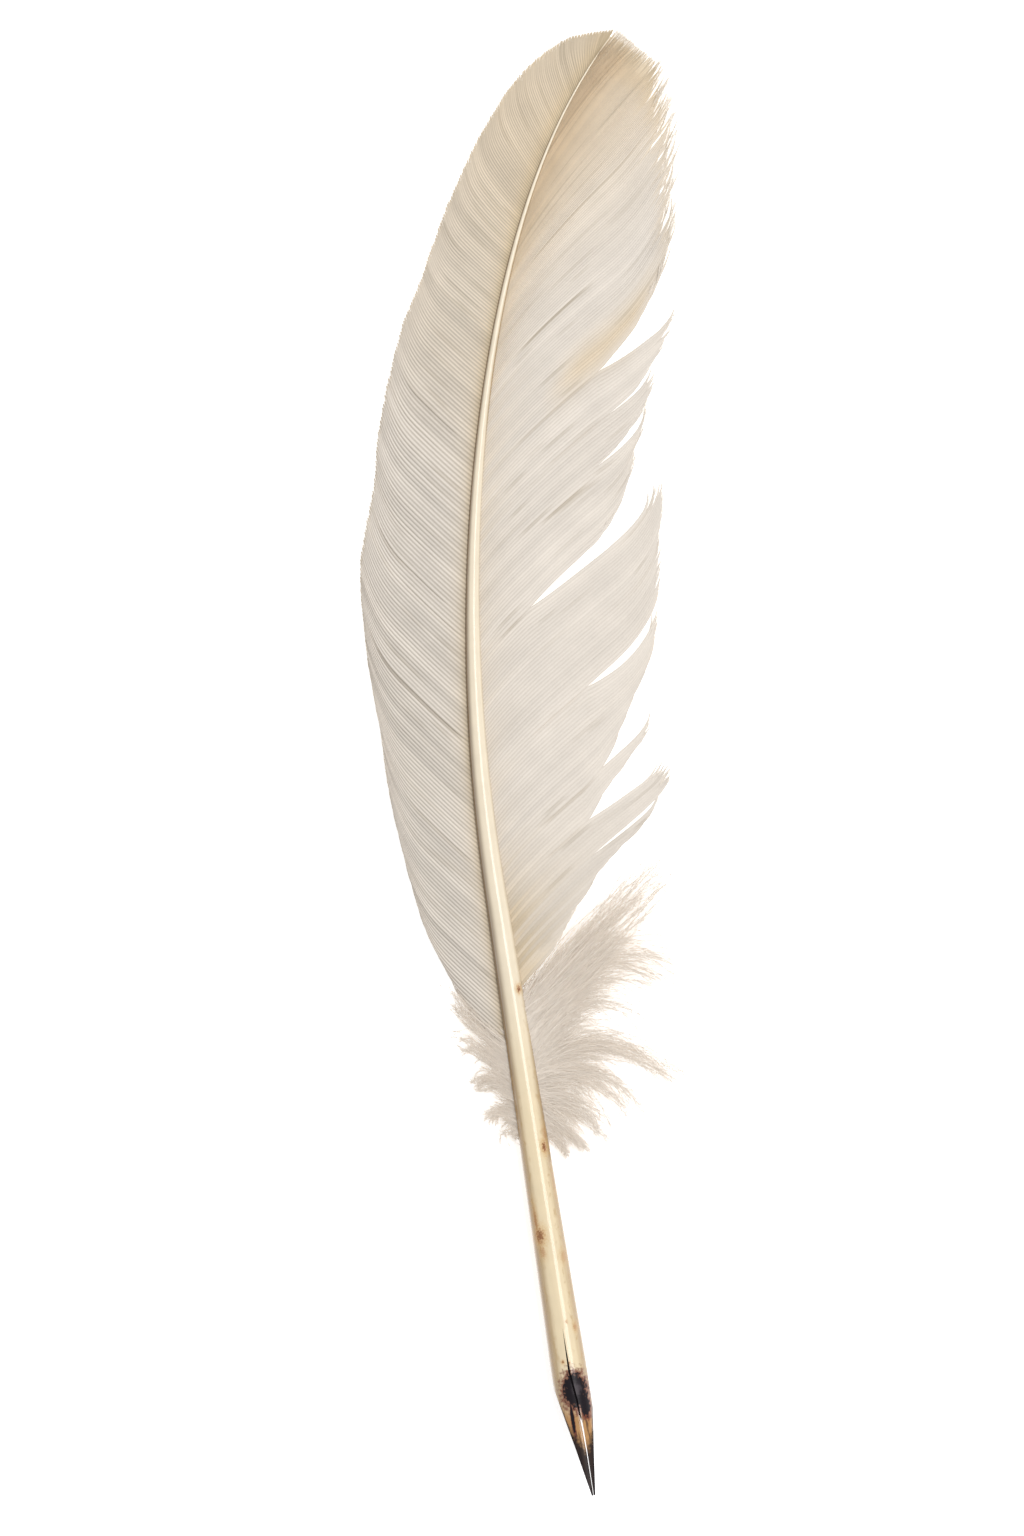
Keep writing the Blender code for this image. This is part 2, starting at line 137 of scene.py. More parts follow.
# The vanes; tables with two entries have the left side as -1 and the right one as 1.
SIDE_NAMES = {-1: "left", 1: "right"}
RACHIS_STANDS = 0.15
VANE_START = {-1: 84.5 * MM, 1: 96 * MM}
VANE_END = 282 * MM
BARB_END = 287.4 * MM
LAST_BARB = {-1: 275 * MM, 1: 258 * MM}
TIP_HALF_WIDTH = 0.5 * MM
LEAN = {-1: math.radians(-36), 1: math.radians(57.5)}
LEAN_AT_SHAFT = {-1: math.radians(-7), 1: math.radians(-15)}
LEAN_FADE = 7 * MM
RIGHT_LEAN_LESS = math.radians(4)
LEFT_LEAN_AT_TIP = math.radians(44)
LEAST_LEAN = math.radians(9)
LEFT_TURN_START = 235 * MM
LEFT_TURN_END = 288 * MM
LOWEST_VANE = 0.35 * MM
EDGE_WAVE = 0.35 * MM
EDGE_WAVE_PERIOD = 46 * MM
DROOP_POWER = 1.8

# Pairs of where a barb leaves the shaft and how far out it ends, in millimetres.
LEFT_REACH = (
    (84.5, 11), (90, 15.3), (96, 16.7), (105, 17.8), (120, 18.6), (132, 20.4), (147, 21.7),
    (153, 21.8), (162, 20.8), (171, 19.8), (183, 19.9), (195, 19.0), (207, 18.0), (219, 16.1),
    (231, 15.1), (249, 12.9), (258, 11.5), (264, 10.1), (270, 8.1), (276, 5.9), (282, 3.2),
    (286, 0.8),
)
RIGHT_REACH = (
    (96, 13), (98, 16), (100, 19.5), (102, 23), (103.3, 28), (104, 34), (106, 36.3), (110, 36.5),
    (112.4, 35.5),
    (112.6, 23), (115, 30), (117, 33.5), (118.4, 34.5),
    (118.6, 27), (122, 29.8), (125, 31.5), (127, 33.5), (129, 35.3), (133, 36), (135.9, 36),
    (136.1, 36.2), (144, 36.1), (151, 36.3), (156, 36), (158.6, 34.5),
    (158.8, 25), (161, 29), (164, 30.2), (169, 30.4), (172, 31.8), (174.3, 32.3),
    (174.5, 28), (177, 31.3), (180, 32), (183, 31.7),
    (183.2, 30.5), (186, 32), (190, 33.2), (193.1, 34),
    (193.3, 27.5), (194.5, 28.9), (196, 29.4), (199, 29.1), (202, 28.4), (206, 27.1),
    (212, 25.3), (219, 22.5),
    (227, 18.5), (235, 14.1), (239, 12.1), (244, 10.6), (248, 9.5), (253, 8.4), (258, 7.2),
    (267, 3.6), (286, 0.6),
)
REACH = {-1: LEFT_REACH, 1: RIGHT_REACH}

# How far out the vane has drooped to the table, with the splits left out.
ENVELOPE = {
    -1: LEFT_REACH,
    1: (
        (96, 34), (132, 36.5), (156, 36.5), (174, 33), (192, 31.5), (213, 27),
        (231, 19.6), (249, 10), (267, 2.2), (286, 0.7),
    ),
}

# How far a barb's end bends towards the tip, in degrees, and how far out the bend is full, in mm.
END_BEND = {
    -1: ((84, 22), (100, 30), (205, 28), (245, 24), (275, 18)),
    1: (
        (96, 10), (104, 10), (108, 5), (112.4, -4), (112.6, 14), (118.4, 8), (118.6, 26),
        (150, 30), (158.6, 26), (158.8, 32), (174.3, 22), (174.5, 18), (183, 14), (193.1, 4),
        (193.3, 26), (205, 28), (236, 13), (258, 4),
    ),
}
BEND_FULL = {
    -1: LEFT_REACH,
    1: (
        (96, 34), (112, 36), (118.4, 36), (118.6, 31), (128, 35.5), (150, 36.5), (158.6, 35.5),
        (158.8, 30.3), (168, 30.5), (174.4, 32.4), (193.1, 34), (193.3, 30), (199, 29.1),
        (206, 27.1), (212, 25.3), (219, 22.5), (231, 16.4), (240, 12.3), (249, 9.4), (258, 7.2),
        (267, 3.6), (286, 0.7),
    ),
}
BEND_FROM = {-1: 0.62, 1: 0.70}
TIP_CROWDING = {-1: 0.9, 1: 0.8}

# A barb's section as (x, z) in widths and heights, and how light each of its corners is, as
# painted light and shade: a lit ridge and shaded webs.
BARB_SECTION = ((-0.56, -0.22), (0.0, 0.5), (0.56, -0.22), (0.0, -0.5))
SECTION_PAINTED_LIGHT = (0.0, 1.0, 0.0, 0.5)
BARB_OVERLAP = 1.06
BARBULE_SPACING = 0.16
BARB_TILT = 0.10
FRAYED_FROM = 0.3
FRAYED_TIP_WIDTH = 0.16
CLOSED_TIP_WIDTH = 0.5
CREST_MIDDLE = {-1: 0.5, 1: 0.64}
BAND_LENGTHS = (4.0 * MM, 7.5 * MM, 13 * MM, 24 * MM)
FOLD_LENGTHS = (5.2 * MM, 9 * MM, 14 * MM)
FOLD_HEIGHT = 0.22 * MM

# Splits of the right vane, in mm: base on the shaft, distance of the root, opening up and down.
SPLITS = (
    (105.5, 19.0, 1.0, 0.2), (112.5, 19.6, 4.7, 2.0),
    (118.5, 22.8, 5.0, 0.5), (136.0, 21.4, 0.3, 3.0),
    (158.7, 10.9, 1.7, 2.0), (174.4, 22.8, 0.8, 1.0),
    (183.1, 23.0, 0.6, 1.0), (193.2, 20.9, 5.0, 3.5),
)
SPLIT_GROWTH = 6
SPLIT_FADE = 6

# Creases where barbs part or overlap, with a painted shadow line: side, base, from and to distance
# (mm), darkness of the painted shadow, step (mm).
CREASES = (
    (-1, 143.9, 1.5, 20.5, 0.75, 0.45),
    (-1, 168.0, 4.0, 20.0, 0.35, 0.25),
    (-1, 164.0, 1.0, 15.0, 0.25, 0.15),
    (-1, 201.0, 3.0, 17.0, 0.25, 0.2),
    (-1, 119.0, 2.0, 17.0, 0.3, 0.2),
    (-1, 226.0, 2.0, 14.0, 0.2, 0.15),
    (1, 229.3, 2.5, 17.5, 0.55, 0.15),
    (1, 212.0, 4.0, 17.0, 0.55, 0.15),
    (1, 192.9, 5.5, 21.5, 0.60, 0.2),
    (1, 172.6, 12.0, 22.5, 0.6, 0.25),
    (1, 183.1, 12.0, 24.0, 0.4, 0.2),
    (1, 158.7, 4.0, 11.5, 0.45, 0.25),
    (1, 136.0, 9.0, 22.0, 0.35, 0.2),
    (1, 118.5, 10.0, 23.0, 0.35, 0.2),
    (1, 112.5, 9.0, 20.0, 0.35, 0.2),
    (1, 257.0, 0.5, 4.0, 0.4, 0.1),
)

FRINGE_HAIRS = {-1: 10, 1: 18}

# Down: where each tuft leaves the shaft, a point it passes, and its end, in millimetres.
RIGHT_TUFTS = (
    (98, (16.8, 107.6), (23.3, 118.0)),
    (96, (14.0, 107.5), (25.0, 118.2)),
    (94, (15.4, 106.4), (30.2, 117.9)),
    (91, (16.0, 104.0), (30.2, 112.6)),
    (90, (18.1, 102.5), (31.2, 111.6)),
    (87, (16.1, 100.6), (31.6, 96.9)),
    (85, (15.6, 97.4), (27.8, 93.6)),
    (83, (14.8, 93.3), (26.1, 85.8)),
    (81, (15.5, 84.4), (28.8, 75.2)),
    (80, (12.6, 79.1), (19.5, 70.3)),
    (77, (9.7, 72.8), (13.8, 66.5)),
    (74, (6.3, 69.5), (9.2, 65.8)),
    (71, (4.6, 67.4), (5.8, 64.6)),
)
LEFT_TUFTS = (
    (86, (-6.6, 92.9), (-11.4, 99.0)),
    (84, (-6.9, 90.9), (-11.0, 95.8)),
    (80, (-7.5, 87.1), (-10.8, 88.4)),
    (76, (-6.4, 80.4), (-9.4, 80.6)),
    (72, (-5.4, 74.6), (-7.7, 73.2)),
    (70, (-4.6, 70.6), (-5.5, 68.0)),
)
TUFT_ARCH = 0.95

# Pieces of down: name, tufts, the first and last tuft, seed and fullness.
DOWN_PIECES = (
    ("down_right_upper", RIGHT_TUFTS, (1.9, 5.0), 51, 0.8),
    ("down_right_middle", RIGHT_TUFTS, (4.4, 9.2), 52, 1.0),
    ("down_right_lower", RIGHT_TUFTS, (7.4, len(RIGHT_TUFTS) - 1), 54, 0.9),
    ("down_left", LEFT_TUFTS, (0, len(LEFT_TUFTS) - 1), 53, 0.7),
)
HAIR_SECTION = ((-0.5, 0.25), (0.0, -0.5), (0.5, 0.25))
HAIR_STATIONS = 3
LOWEST_HAIR = 0.06 * MM
LOWEST_STEM = 0.15 * MM
STALK_SECTION = ((-0.5, 0), (0, -0.5), (0.5, 0), (0, 0.5))
STALK_STATIONS = 10
UNDERCOAT_STATIONS = 6
UNDERCOAT_WIDTH = 0.13 * MM
SHARP_ANGLE = math.radians(60)

# The picture and its light.
PICTURE_HEIGHT = 294.4 * MM
PICTURE_MIDDLE = (6.77 * MM, 139.51 * MM)
FOCUS_HEIGHT = 3 * MM
SENSOR = 36
LAMP_PLACE = (0.27, 0.02, 0.66)
LAMP_SIZE = (0.28, 0.9)
FLOOR_SIZE = 4
FLOOR_DEPTH = 0.1 * MM
FLOOR_GLOW = 0.55
HAIR_GLOW = (0.9, 0.8, 0.68, 1)
FRINGE_GLOW = 0.05
DOWN_GLOW = 0.12


def shaft_tables():
    """The shaft's axis in plan, summed finely along s."""
    count = 2900
    step = 0.1 * MM
    middles = (np.arange(count) + 0.5) * step
    angles = heading(middles)
    x = np.concatenate(([0], np.cumsum(np.sin(angles) * step)))
    y = np.concatenate(([0], np.cumsum(np.cos(angles) * step)))
    return np.arange(count + 1) * step, x, y


def heading(s):
    """The shaft's direction at s, clockwise from the barrel's."""
    share = np.clip((s - BEND_START) / (SHAFT_LENGTH - BEND_START), 0, 1)
    return BEND_EVEN * share + BEND_LATE * share ** BEND_LATE_POWER


def shaft_radius(s):
    share = np.clip((s - BARREL_END) / (SHAFT_LENGTH - BARREL_END), 0, 1)
    return SHAFT_RADIUS_TIP + SHAFT_RADIUS_GAIN * (1 - share) ** SHAFT_TAPER


def shaft_height(s):
    """The axis height: the barrel lies on the table and the rachis arches over it."""
    share = np.clip((s - ARCH_START) / (SHAFT_LENGTH - ARCH_START), 0, 1)
    return shaft_radius(s) + ARCH_HEIGHT * np.sin(math.pi * share ** ARCH_LEAN) ** 2


PLAN_S, PLAN_X, PLAN_Y = shaft_tables()


def beside_shaft(s, offset, height):
    """Points at s, offset to the right of the shaft, at a height over the table."""
    angle = heading(s)
    x = np.interp(s, PLAN_S, PLAN_X) + np.cos(angle) * offset
    y = np.interp(s, PLAN_S, PLAN_Y) - np.sin(angle) * offset
    x, y, height = np.broadcast_arrays(x, y, height)
    return np.stack((x, y, height), axis=-1) + NIB


def table_at(table, base):
    """Read a table, given in millimetres, at bases given in metres."""
    places, values = zip(*table)
    return np.interp(np.asarray(base) / MM, places, values) * MM


def smooth(value, low, high):
    """Rise from 0 at low to 1 at high, without corners."""
    share = np.clip((value - low) / (high - low), 0, 1)
    return share * share * (3 - 2 * share)


def soft_noise(value, seed, lengths):
    """Even waves of the given lengths with random phases, between about -1 and 1."""
    random = np.random.default_rng(seed)
    total = np.zeros_like(value)
    for length in lengths:
        phase, turn = random.uniform(0, math.tau, 2)
        place = value / length
        total += np.sin(place * math.tau + phase + 1.3 * np.sin(place * 1.7 + turn))
    return total / len(lengths)


# Settings

def length_setting(name, description, millimetres):
    return bpy.props.FloatProperty(
        name=name, description=description, default=millimetres * MM,
        min=0, precision=5, unit="LENGTH",
    )


def count_setting(name, description, count):
    return bpy.props.IntProperty(name=name, description=description, default=count, min=3)


def share_setting(name, description, share):
    return bpy.props.FloatProperty(
        name=name, description=description, default=share, min=0, max=1, subtype="FACTOR"
    )


def colour_setting(name, description, colour):
    return bpy.props.FloatVectorProperty(
        name=name, description=description, default=colour, min=0, max=1, size=3, subtype="COLOR"
    )


class ShaftSettings(bpy.types.PropertyGroup):
    sides: count_setting("Sides", "Sides of the shaft's round section", 40)
    wall: length_setting("Wall", "Thickness of the barrel's horn wall", 0.7)
    edge_bevel: length_setting("Edge bevel", "Width of the bevel on the cut edges", 0.06)
    groove: share_setting("Groove", "Depth of the groove under the rachis, in radii", 0.3)
    horn: colour_setting("Horn", "Colour of the horn along its middle", (0.76, 0.63, 0.42))
    # The horn's side colour is partly its own browner colour and partly painted shade of its
    # curved flanks; the rachis's dark left side is painted shade where it meets the vane.
    horn_side_and_shade: colour_setting("Horn side", "Colour of the horn's sides", (0.34, 0.215, 0.09))
    rachis_painted_shade: colour_setting(
        "Rachis side", "Colour of the rachis's left side", (0.13, 0.065, 0.015)
    )
    rachis: colour_setting("Rachis", "Colour of the rachis along its middle", (0.79, 0.69, 0.53))
    spot: colour_setting("Spot", "Colour of the brown spots", (0.36, 0.125, 0.025))
    ink: colour_setting("Ink", "Colour of the slit shade", (0.010, 0.007, 0.010))


class VaneSettings(bpy.types.PropertyGroup):
    left_barbs: count_setting("Left barbs", "Barbs of the narrow vane", 262)
    right_barbs: count_setting("Right barbs", "Barbs of the wide vane", 300)
    stations: count_setting("Stations", "Sections along a barb", 30)
    thickness: length_setting("Thickness", "Height of a barb's section", 0.17)
    # Ridge and groove colours are painted light and shade: lighter ridges and darker webs stand in
    # for the stripes that light makes across the barbs.
    ridge: colour_setting("Ridge", "Colour of a barb's ridge", (0.87, 0.805, 0.73))
    groove: colour_setting("Groove", "Colour of the web between two ridges", (0.45, 0.39, 0.32))
    warm: colour_setting("Warm", "Colour of the warmer patches", (0.66, 0.53, 0.36))
    # Colour of the painted shadow in creases and partings, also used for the barbs' own darker
    # streaks.
    crease_shadow_and_streak: colour_setting("Crease", "Colour of the lines where barbs part", (0.24, 0.185, 0.10))
    hair_root: colour_setting("Hair root", "Colour of the hairs' roots", (0.86, 0.79, 0.70))
    hair: colour_setting("Hair", "Colour of the hairs' ends", (0.93, 0.88, 0.81))


class DownSettings(bpy.types.PropertyGroup):
    undercoat: count_setting("Undercoat", "Soft strands by the shaft on the right", 5000)
    stems: count_setting("Stems", "Stems of each piece of down", 92)
    barbules: count_setting("Barbules", "Barbules of each stem", 82)
    stem: colour_setting("Stem", "Colour of the stems", (0.78, 0.705, 0.62))
    fluff: colour_setting("Fluff", "Colour of the barbules", (0.66, 0.60, 0.535))


class StageSettings(bpy.types.PropertyGroup):
    lens: bpy.props.FloatProperty(
        name="Lens", description="Focal length of the camera, in millimetres", default=100, min=1
    )
    tilt: bpy.props.FloatProperty(
        name="Tilt", description="How far the barrel leans to the left in the picture",
        default=math.radians(8.77), subtype="ANGLE"
    )
    lamp_power: bpy.props.FloatProperty(
        name="Lamp power", description="Power of the soft lamp", default=3.6, min=0, unit="POWER"
    )
    sky: bpy.props.FloatProperty(
        name="Sky", description="Strength of the even light from all round", default=0.62, min=0
    )
    floor: colour_setting("Floor", "Colour of the floor", (0.95, 0.95, 0.95))


# Materials

class Wire:
    """A socket of a node tree; arithmetic on it adds Math nodes."""

    def __init__(self, finish, socket):
        self.finish = finish
        self.socket = socket

    def math(self, operation, *others):
        values = dict(enumerate((self,) + others))
        return self.finish.node("ShaderNodeMath", {"operation": operation}, values)

    def __add__(self, other):
        return self.math("ADD", other)

    def __sub__(self, other):
        return self.math("SUBTRACT", other)

    def __rsub__(self, other):
        return self.finish.node("ShaderNodeMath", {"operation": "SUBTRACT"}, {0: other, 1: self})

    def __mul__(self, other):
        return self.math("MULTIPLY", other)

    def __truediv__(self, other):
        return self.math("DIVIDE", other)

    __radd__ = __add__
    __rmul__ = __mul__

    def greater(self, other):
        return self.math("MAXIMUM", other)

    def smaller(self, other):
        return self.math("MINIMUM", other)

    def rise(self, low, high):
        """0 below low and 1 above high, or the other way round where high is the lower."""
        values = {"Value": self, "From Min": low, "From Max": high}
        return self.finish.node("ShaderNodeMapRange", {"interpolation_type": "SMOOTHSTEP"}, values)


class Finish:
    """One material and its nodes."""

    def __init__(self, name):
        self.material = bpy.data.materials.new(name)
        self.material.use_nodes = True
        self.tree = self.material.node_tree
        self.shader = self.tree.nodes["Principled BSDF"]

    def put(self, target, value):
        if isinstance(value, Wire):
            self.tree.links.new(value.socket, target)
        else:
            target.default_value = (*value, 1) if target.type == "RGBA" else value

    def node(self, kind, settings=None, values=None, output=0):
        """Add a node, set it, fill its sockets and give one output."""
        made = self.tree.nodes.new(kind)
        for key, setting in (settings or {}).items():
            setattr(made, key, setting)
        sockets = {socket.identifier: socket for socket in made.inputs}
        for key, value in (values or {}).items():
            named = None if isinstance(key, int) else sockets.get(key)
            self.put(named or made.inputs[key], value)
        return Wire(self, made.outputs[output])

    def attribute(self, name):
        return self.node("ShaderNodeAttribute", {"attribute_name": name}, output=2)

    def vector(self, operation, values):
        return self.node("ShaderNodeVectorMath", {"operation": operation}, values)

    def place(self):
        """The place on the object, in millimetres from the nib's point."""
        where = self.node("ShaderNodeTexCoord", output=3)
        moved = self.vector("ADD", {0: where, 1: tuple(-NIB)})
        return self.vector("SCALE", {0: moved, "Scale": 1 / MM})

    def x_and_y(self, vector):
        split = self.node("ShaderNodeSeparateXYZ", values={0: vector})
        return split, Wire(self, split.socket.node.outputs[1])

    def noise(self, vector, scale=1.0, detail=3.0, stretch=None):
        if stretch:
            vector = self.vector("MULTIPLY", {0: vector, 1: stretch})
        values = {"Vector": vector, "Scale": scale, "Detail": detail}
        return self.node("ShaderNodeTexNoise", values=values)

    def mix(self, share, first, second):
        values = {"Factor_Float": share, "A_Color": first, "B_Color": second}
        return self.node("ShaderNodeMix", {"data_type": "RGBA"}, values, output=2)

    def scale_colour(self, colour, amount):
        return self.vector("SCALE", {0: colour, "Scale": amount})

    def finish(self, colour, roughness, constants, bump=None, bump_depth=0.1 * MM):
        """Link what varies to the shader and set its other sockets."""
        self.put(self.shader.inputs["Base Color"], colour)
        self.put(self.shader.inputs["Roughness"], roughness)
        if bump:
            values = {"Height": bump, "Distance": bump_depth, "Strength": 1.0}
            self.put(self.shader.inputs["Normal"], self.node("ShaderNodeBump", values=values))
        for key, value in constants.items():
            self.shader.inputs[key].default_value = value
        return self.material


def blob(x, y, centre, radii, ragged):
    """How far a place is from a spot's centre, in its radii, with a ragged edge."""
    across = (x - centre[0]) / radii[0]
    along = (y - centre[1]) / radii[1]
    return (across * across + along * along).math("SQRT") + ragged


def plain_horn(finish, settings, place, streaks):
    """Cream horn, browner and specked towards its sides, plainer along the rachis. The browner
    sides are partly the horn's own colour and partly painted shade; the dark left side of the
    rachis is painted shade.
    """
    across = finish.attribute("across")
    along = finish.attribute("along")
    mottle = finish.noise(place, 0.35)
    rachis = along.rise(66, 108)
    wavy = across + (streaks - 0.5) * 0.18
    # Painted shade, with the horn's own browner side: the left flank darkens, and along the rachis
    # its left edge takes the painted shade where it meets the vane.
    barrel_left = wavy.rise(-0.35, -0.85)
    left = barrel_left + rachis * (across.rise(-0.25, -1.0) - barrel_left)
    middle = finish.mix(rachis, settings.horn, settings.rachis)
    side_colour_and_shade = finish.mix(rachis, settings.horn_side_and_shade, settings.rachis_painted_shade)
    colour = finish.mix(left, middle, side_colour_and_shade)
    # The right flank darkens too, partly by the horn's own colour and partly as painted shade.
    right_from = 0.45 + rachis * 0.30 - along.rise(192, 216) * 0.32
    colour = finish.mix(wavy.rise(right_from, right_from + 0.55), colour, settings.horn_side_and_shade)
    specks = finish.noise(place, detail=5.0, stretch=(1.3, 0.55, 1.0)).rise(0.54, 0.69)
    toward_side = across.math("ABSOLUTE").rise(0.2, 0.8) * (1 - rachis)
    colour = finish.mix(specks * toward_side * 0.6, colour, (0.42, 0.26, 0.10))
    return finish.scale_colour(colour, streaks * 0.10 + (mottle - 0.5) * 0.14 + 0.95)


def spotted(finish, settings, colour, place, x, y):
    """Rusty spots, each with a dark core and a golden halo."""
    ragged = (finish.noise(place, 3.2, 5.0) - 0.5) * 2.2
    blots = [(blob(x, y, centre, radii, ragged), strength) for centre, radii, strength in SPOTS]
    brown = functools.reduce(Wire.greater, [far.rise(1.4, 0.3) * share for far, share in blots])
    halo = functools.reduce(Wire.greater, [far.rise(2.6, 0.9) * share for far, share in blots])
    colour = finish.mix(halo * 0.6, colour, HALO)
    colour = finish.mix(brown, colour, settings.spot)
    return finish.mix(brown.rise(0.45, 0.85) * 0.6, colour, SPOT_CORE)


def inked_nib(finish, settings, colour, place, x, y):
    """The toasted nib with its ink stain, a painted sheen on the stain, and its black point, and
    where the ink is.
    """
    ragged = (finish.noise(place, 1.6, 4.0) - 0.5) * 1.3
    blots = [blob(x, y, centre, radii, ragged * rough) for centre, radii, rough in STAIN]
    stain = functools.reduce(Wire.smaller, blots)
    warm_nib = y.rise(19.0, 14.5)
    wood = finish.noise(place, detail=4.0, stretch=(2.6, 0.30, 1.0))
    colour = finish.mix(warm_nib * 0.9, colour, TOASTED)
    colour = finish.mix(warm_nib * wood.rise(0.50, 0.66) * 0.85, colour, DARK_GRAIN)
    colour = finish.mix(stain.rise(1.55, 1.0) * 0.9, colour, STAIN_RIM)
    colour = finish.mix(stain.rise(1.05, 0.8), colour, settings.ink)
    # Painted sheen on the middle of the stain.
    painted_sheen = blob(x, y, (0.9, 20.6), (1.2, 1.7), ragged).rise(1.1, 0.2)
    colour = finish.mix(painted_sheen * 0.22, colour, PAINTED_INK_SHEEN)
    edge = (x + y * 0.195 - 0.65).smaller(1.35 + y * 0.13 - x) + ragged * 0.12
    colour = finish.mix(edge.rise(0.5, 0.1) * y.rise(20, 15) * 0.9, colour, settings.ink)
    from_slit = (x - NIB_POINT_X / MM).math("ABSOLUTE")
    dark_tip = (y + ragged * 3.2 + from_slit * -1.6).rise(10.8, 7.2)
    colour = finish.mix(dark_tip * 0.96, colour, settings.ink)
    return colour, stain.rise(1.2, 0.8).greater(dark_tip)


def horn_finish(settings):
    """Glossy horn with its spots, and the matt ink stain of the nib."""
    finish = Finish("horn")
    place = finish.place()
    x, y = finish.x_and_y(place)
    streaks = finish.noise(place, detail=4.0, stretch=(2.2, 0.12, 1.0))
    grain = finish.noise(place, detail=2.0, stretch=(6.0, 0.5, 3.0))
    colour = plain_horn(finish, settings, place, streaks)
    colour = spotted(finish, settings, colour, place, x, y)
    colour, inked = inked_nib(finish, settings, colour, place, x, y)
    roughness = 0.20 + (grain - 0.5) * 0.12 + inked * 0.15
    finish.put(finish.shader.inputs["Coat Weight"], 1 - inked)
    constants = {"Coat Roughness": 0.12, "Specular IOR Level": 0.18}
    return finish.finish(colour, roughness, constants, streaks + grain * 0.5, 0.01 * MM)


def vane_finish(settings):
    """Pale barbs: light ridges and darker webs as painted light and shade, warm by the shaft, with
    creases and partings painted dark as shade.
    """
    finish = Finish("vane")
    place = finish.place()
    crest, tone, warm, shade, along = [
        finish.attribute(name) for name in ("crest", "tone", "warm", "shade", "along")
    ]
    cloud = finish.noise(place, 0.16)
    fleck = finish.noise(place, 2.4)
    barbules = (along * (math.tau / BARBULE_SPACING)).math("SINE")
    # Painted light and shade: lit ridges, shaded webs.
    colour = finish.mix(crest, settings.groove, settings.ridge)
    warm_colour = finish.scale_colour(settings.warm, 0.68 + crest * 0.6)
    colour = finish.mix(warm, colour, warm_colour)
    colour = finish.scale_colour(colour, 0.86 + tone * 0.16 + cloud * 0.16 + fleck * 0.10)
    # Painted shadow in creases, partings, by the left of the rachis and along the left edge, with
    # the barbs' own darker streaks.
    colour = finish.mix(shade, colour, settings.crease_shadow_and_streak)
    constants = {"Sheen Weight": 0.15, "Sheen Roughness": 0.5, "Specular IOR Level": 0.3}
    bump = barbules * 0.3 + fleck
    return finish.finish(colour, cloud * 0.2 + 0.62, constants, bump, 0.02 * MM)


def hair_finish(name, root, tip, glow):
    """Fine hairs, darker at their roots; their glow stands for light that passes through."""
    finish = Finish(name)
    cloud = finish.noise(finish.place(), 0.3)
    colour = finish.mix(finish.attribute("along"), root, tip)
    shade = 0.86 + finish.attribute("tone") * 0.14 + cloud * 0.12
    constants = {
        "Sheen Weight": 0.2, "Specular IOR Level": 0.25,
        "Emission Color": HAIR_GLOW, "Emission Strength": glow,
    }
    return finish.finish(finish.scale_colour(colour, shade), cloud * 0.15 + 0.7, constants)


# Modelling

def start_ring(name, sides, radius, location):
    """A filled ring that faces along the barrel, ready to be extruded in edit mode."""
    if bpy.context.mode != "OBJECT":
        bpy.ops.object.mode_set(mode="OBJECT")
    bpy.ops.object.select_all(action="DESELECT")
    bpy.ops.mesh.primitive_circle_add(
        vertices=sides, radius=radius, fill_type="NGON", location=location,
        rotation=(math.pi / 2, 0, 0),
    )
    ring = bpy.context.object
    ring.name = name
    bpy.ops.object.transform_apply(location=True, rotation=True, scale=True)
    bpy.ops.object.mode_set(mode="EDIT")
    bpy.ops.mesh.select_all(action="SELECT")
    return ring


def extrude_by(step):
    bpy.ops.mesh.extrude_region_move(TRANSFORM_OT_translate={"value": tuple(step)})


def end_edit():
    bpy.ops.mesh.select_all(action="SELECT")
    bpy.ops.mesh.normals_make_consistent(inside=False)
    bpy.ops.object.mode_set(mode="OBJECT")


def extrude_shaft(name, sides, stations, narrower=0, groove=0):
    """Extrude a ring from station to station along the shaft, turning and shrinking it."""
    centres = [Vector(beside_shaft(s, 0, shaft_height(s))) for s in stations]
    radii = [float(shaft_radius(s)) - narrower for s in stations]
    piece = start_ring(name, sides, radii[0], centres[0])
    grooved = groove == 0
    for index in range(1, len(stations)):
        extrude_by(centres[index] - centres[index - 1])
        ratio = radii[index] / radii[index - 1]
        bpy.ops.transform.resize(value=(ratio, ratio, ratio), center_override=centres[index])
        turn = float(heading(stations[index]) - heading(stations[index - 1]))
        if turn:
            bpy.ops.transform.rotate(value=turn, orient_axis="Z", center_override=centres[index])
        if not grooved and stations[index] > GROOVE_START:
            push_groove(centres[index], radii[index], groove)
            grooved = True
    end_edit()
    return piece


def push_groove(centre, radius, depth):
    """Push the lowest points of the selected ring up, so that later rings carry a groove."""
    mesh = bmesh.from_edit_mesh(bpy.context.object.data)
    ring = [vertex for vertex in mesh.verts if vertex.select]
    bpy.ops.mesh.select_all(action="DESELECT")
    for vertex in ring:
        vertex.select = vertex.co.z < centre.z - 0.93 * radius
    mesh.select_flush_mode()
    bmesh.update_edit_mesh(bpy.context.object.data)
    bpy.ops.transform.translate(value=(0, 0, depth * radius))
    mesh = bmesh.from_edit_mesh(bpy.context.object.data)
    for face in mesh.faces:
        face.select = False
    for vertex in ring:
        vertex.select = True
    mesh.select_flush(True)
    bmesh.update_edit_mesh(bpy.context.object.data)


def extrude_outline(name, outline, start, step):
    """A block with the given outline: a polygon's corners are placed, then it is extruded."""
    piece = start_ring(name, len(outline), 1, (0, 0, 0))
    mesh = bmesh.from_edit_mesh(piece.data)
    for vertex, corner in zip(mesh.verts, outline):
        vertex.co = Vector(corner) + Vector(start)
    bmesh.update_edit_mesh(piece.data)
    extrude_by(step)
    end_edit()
    return piece


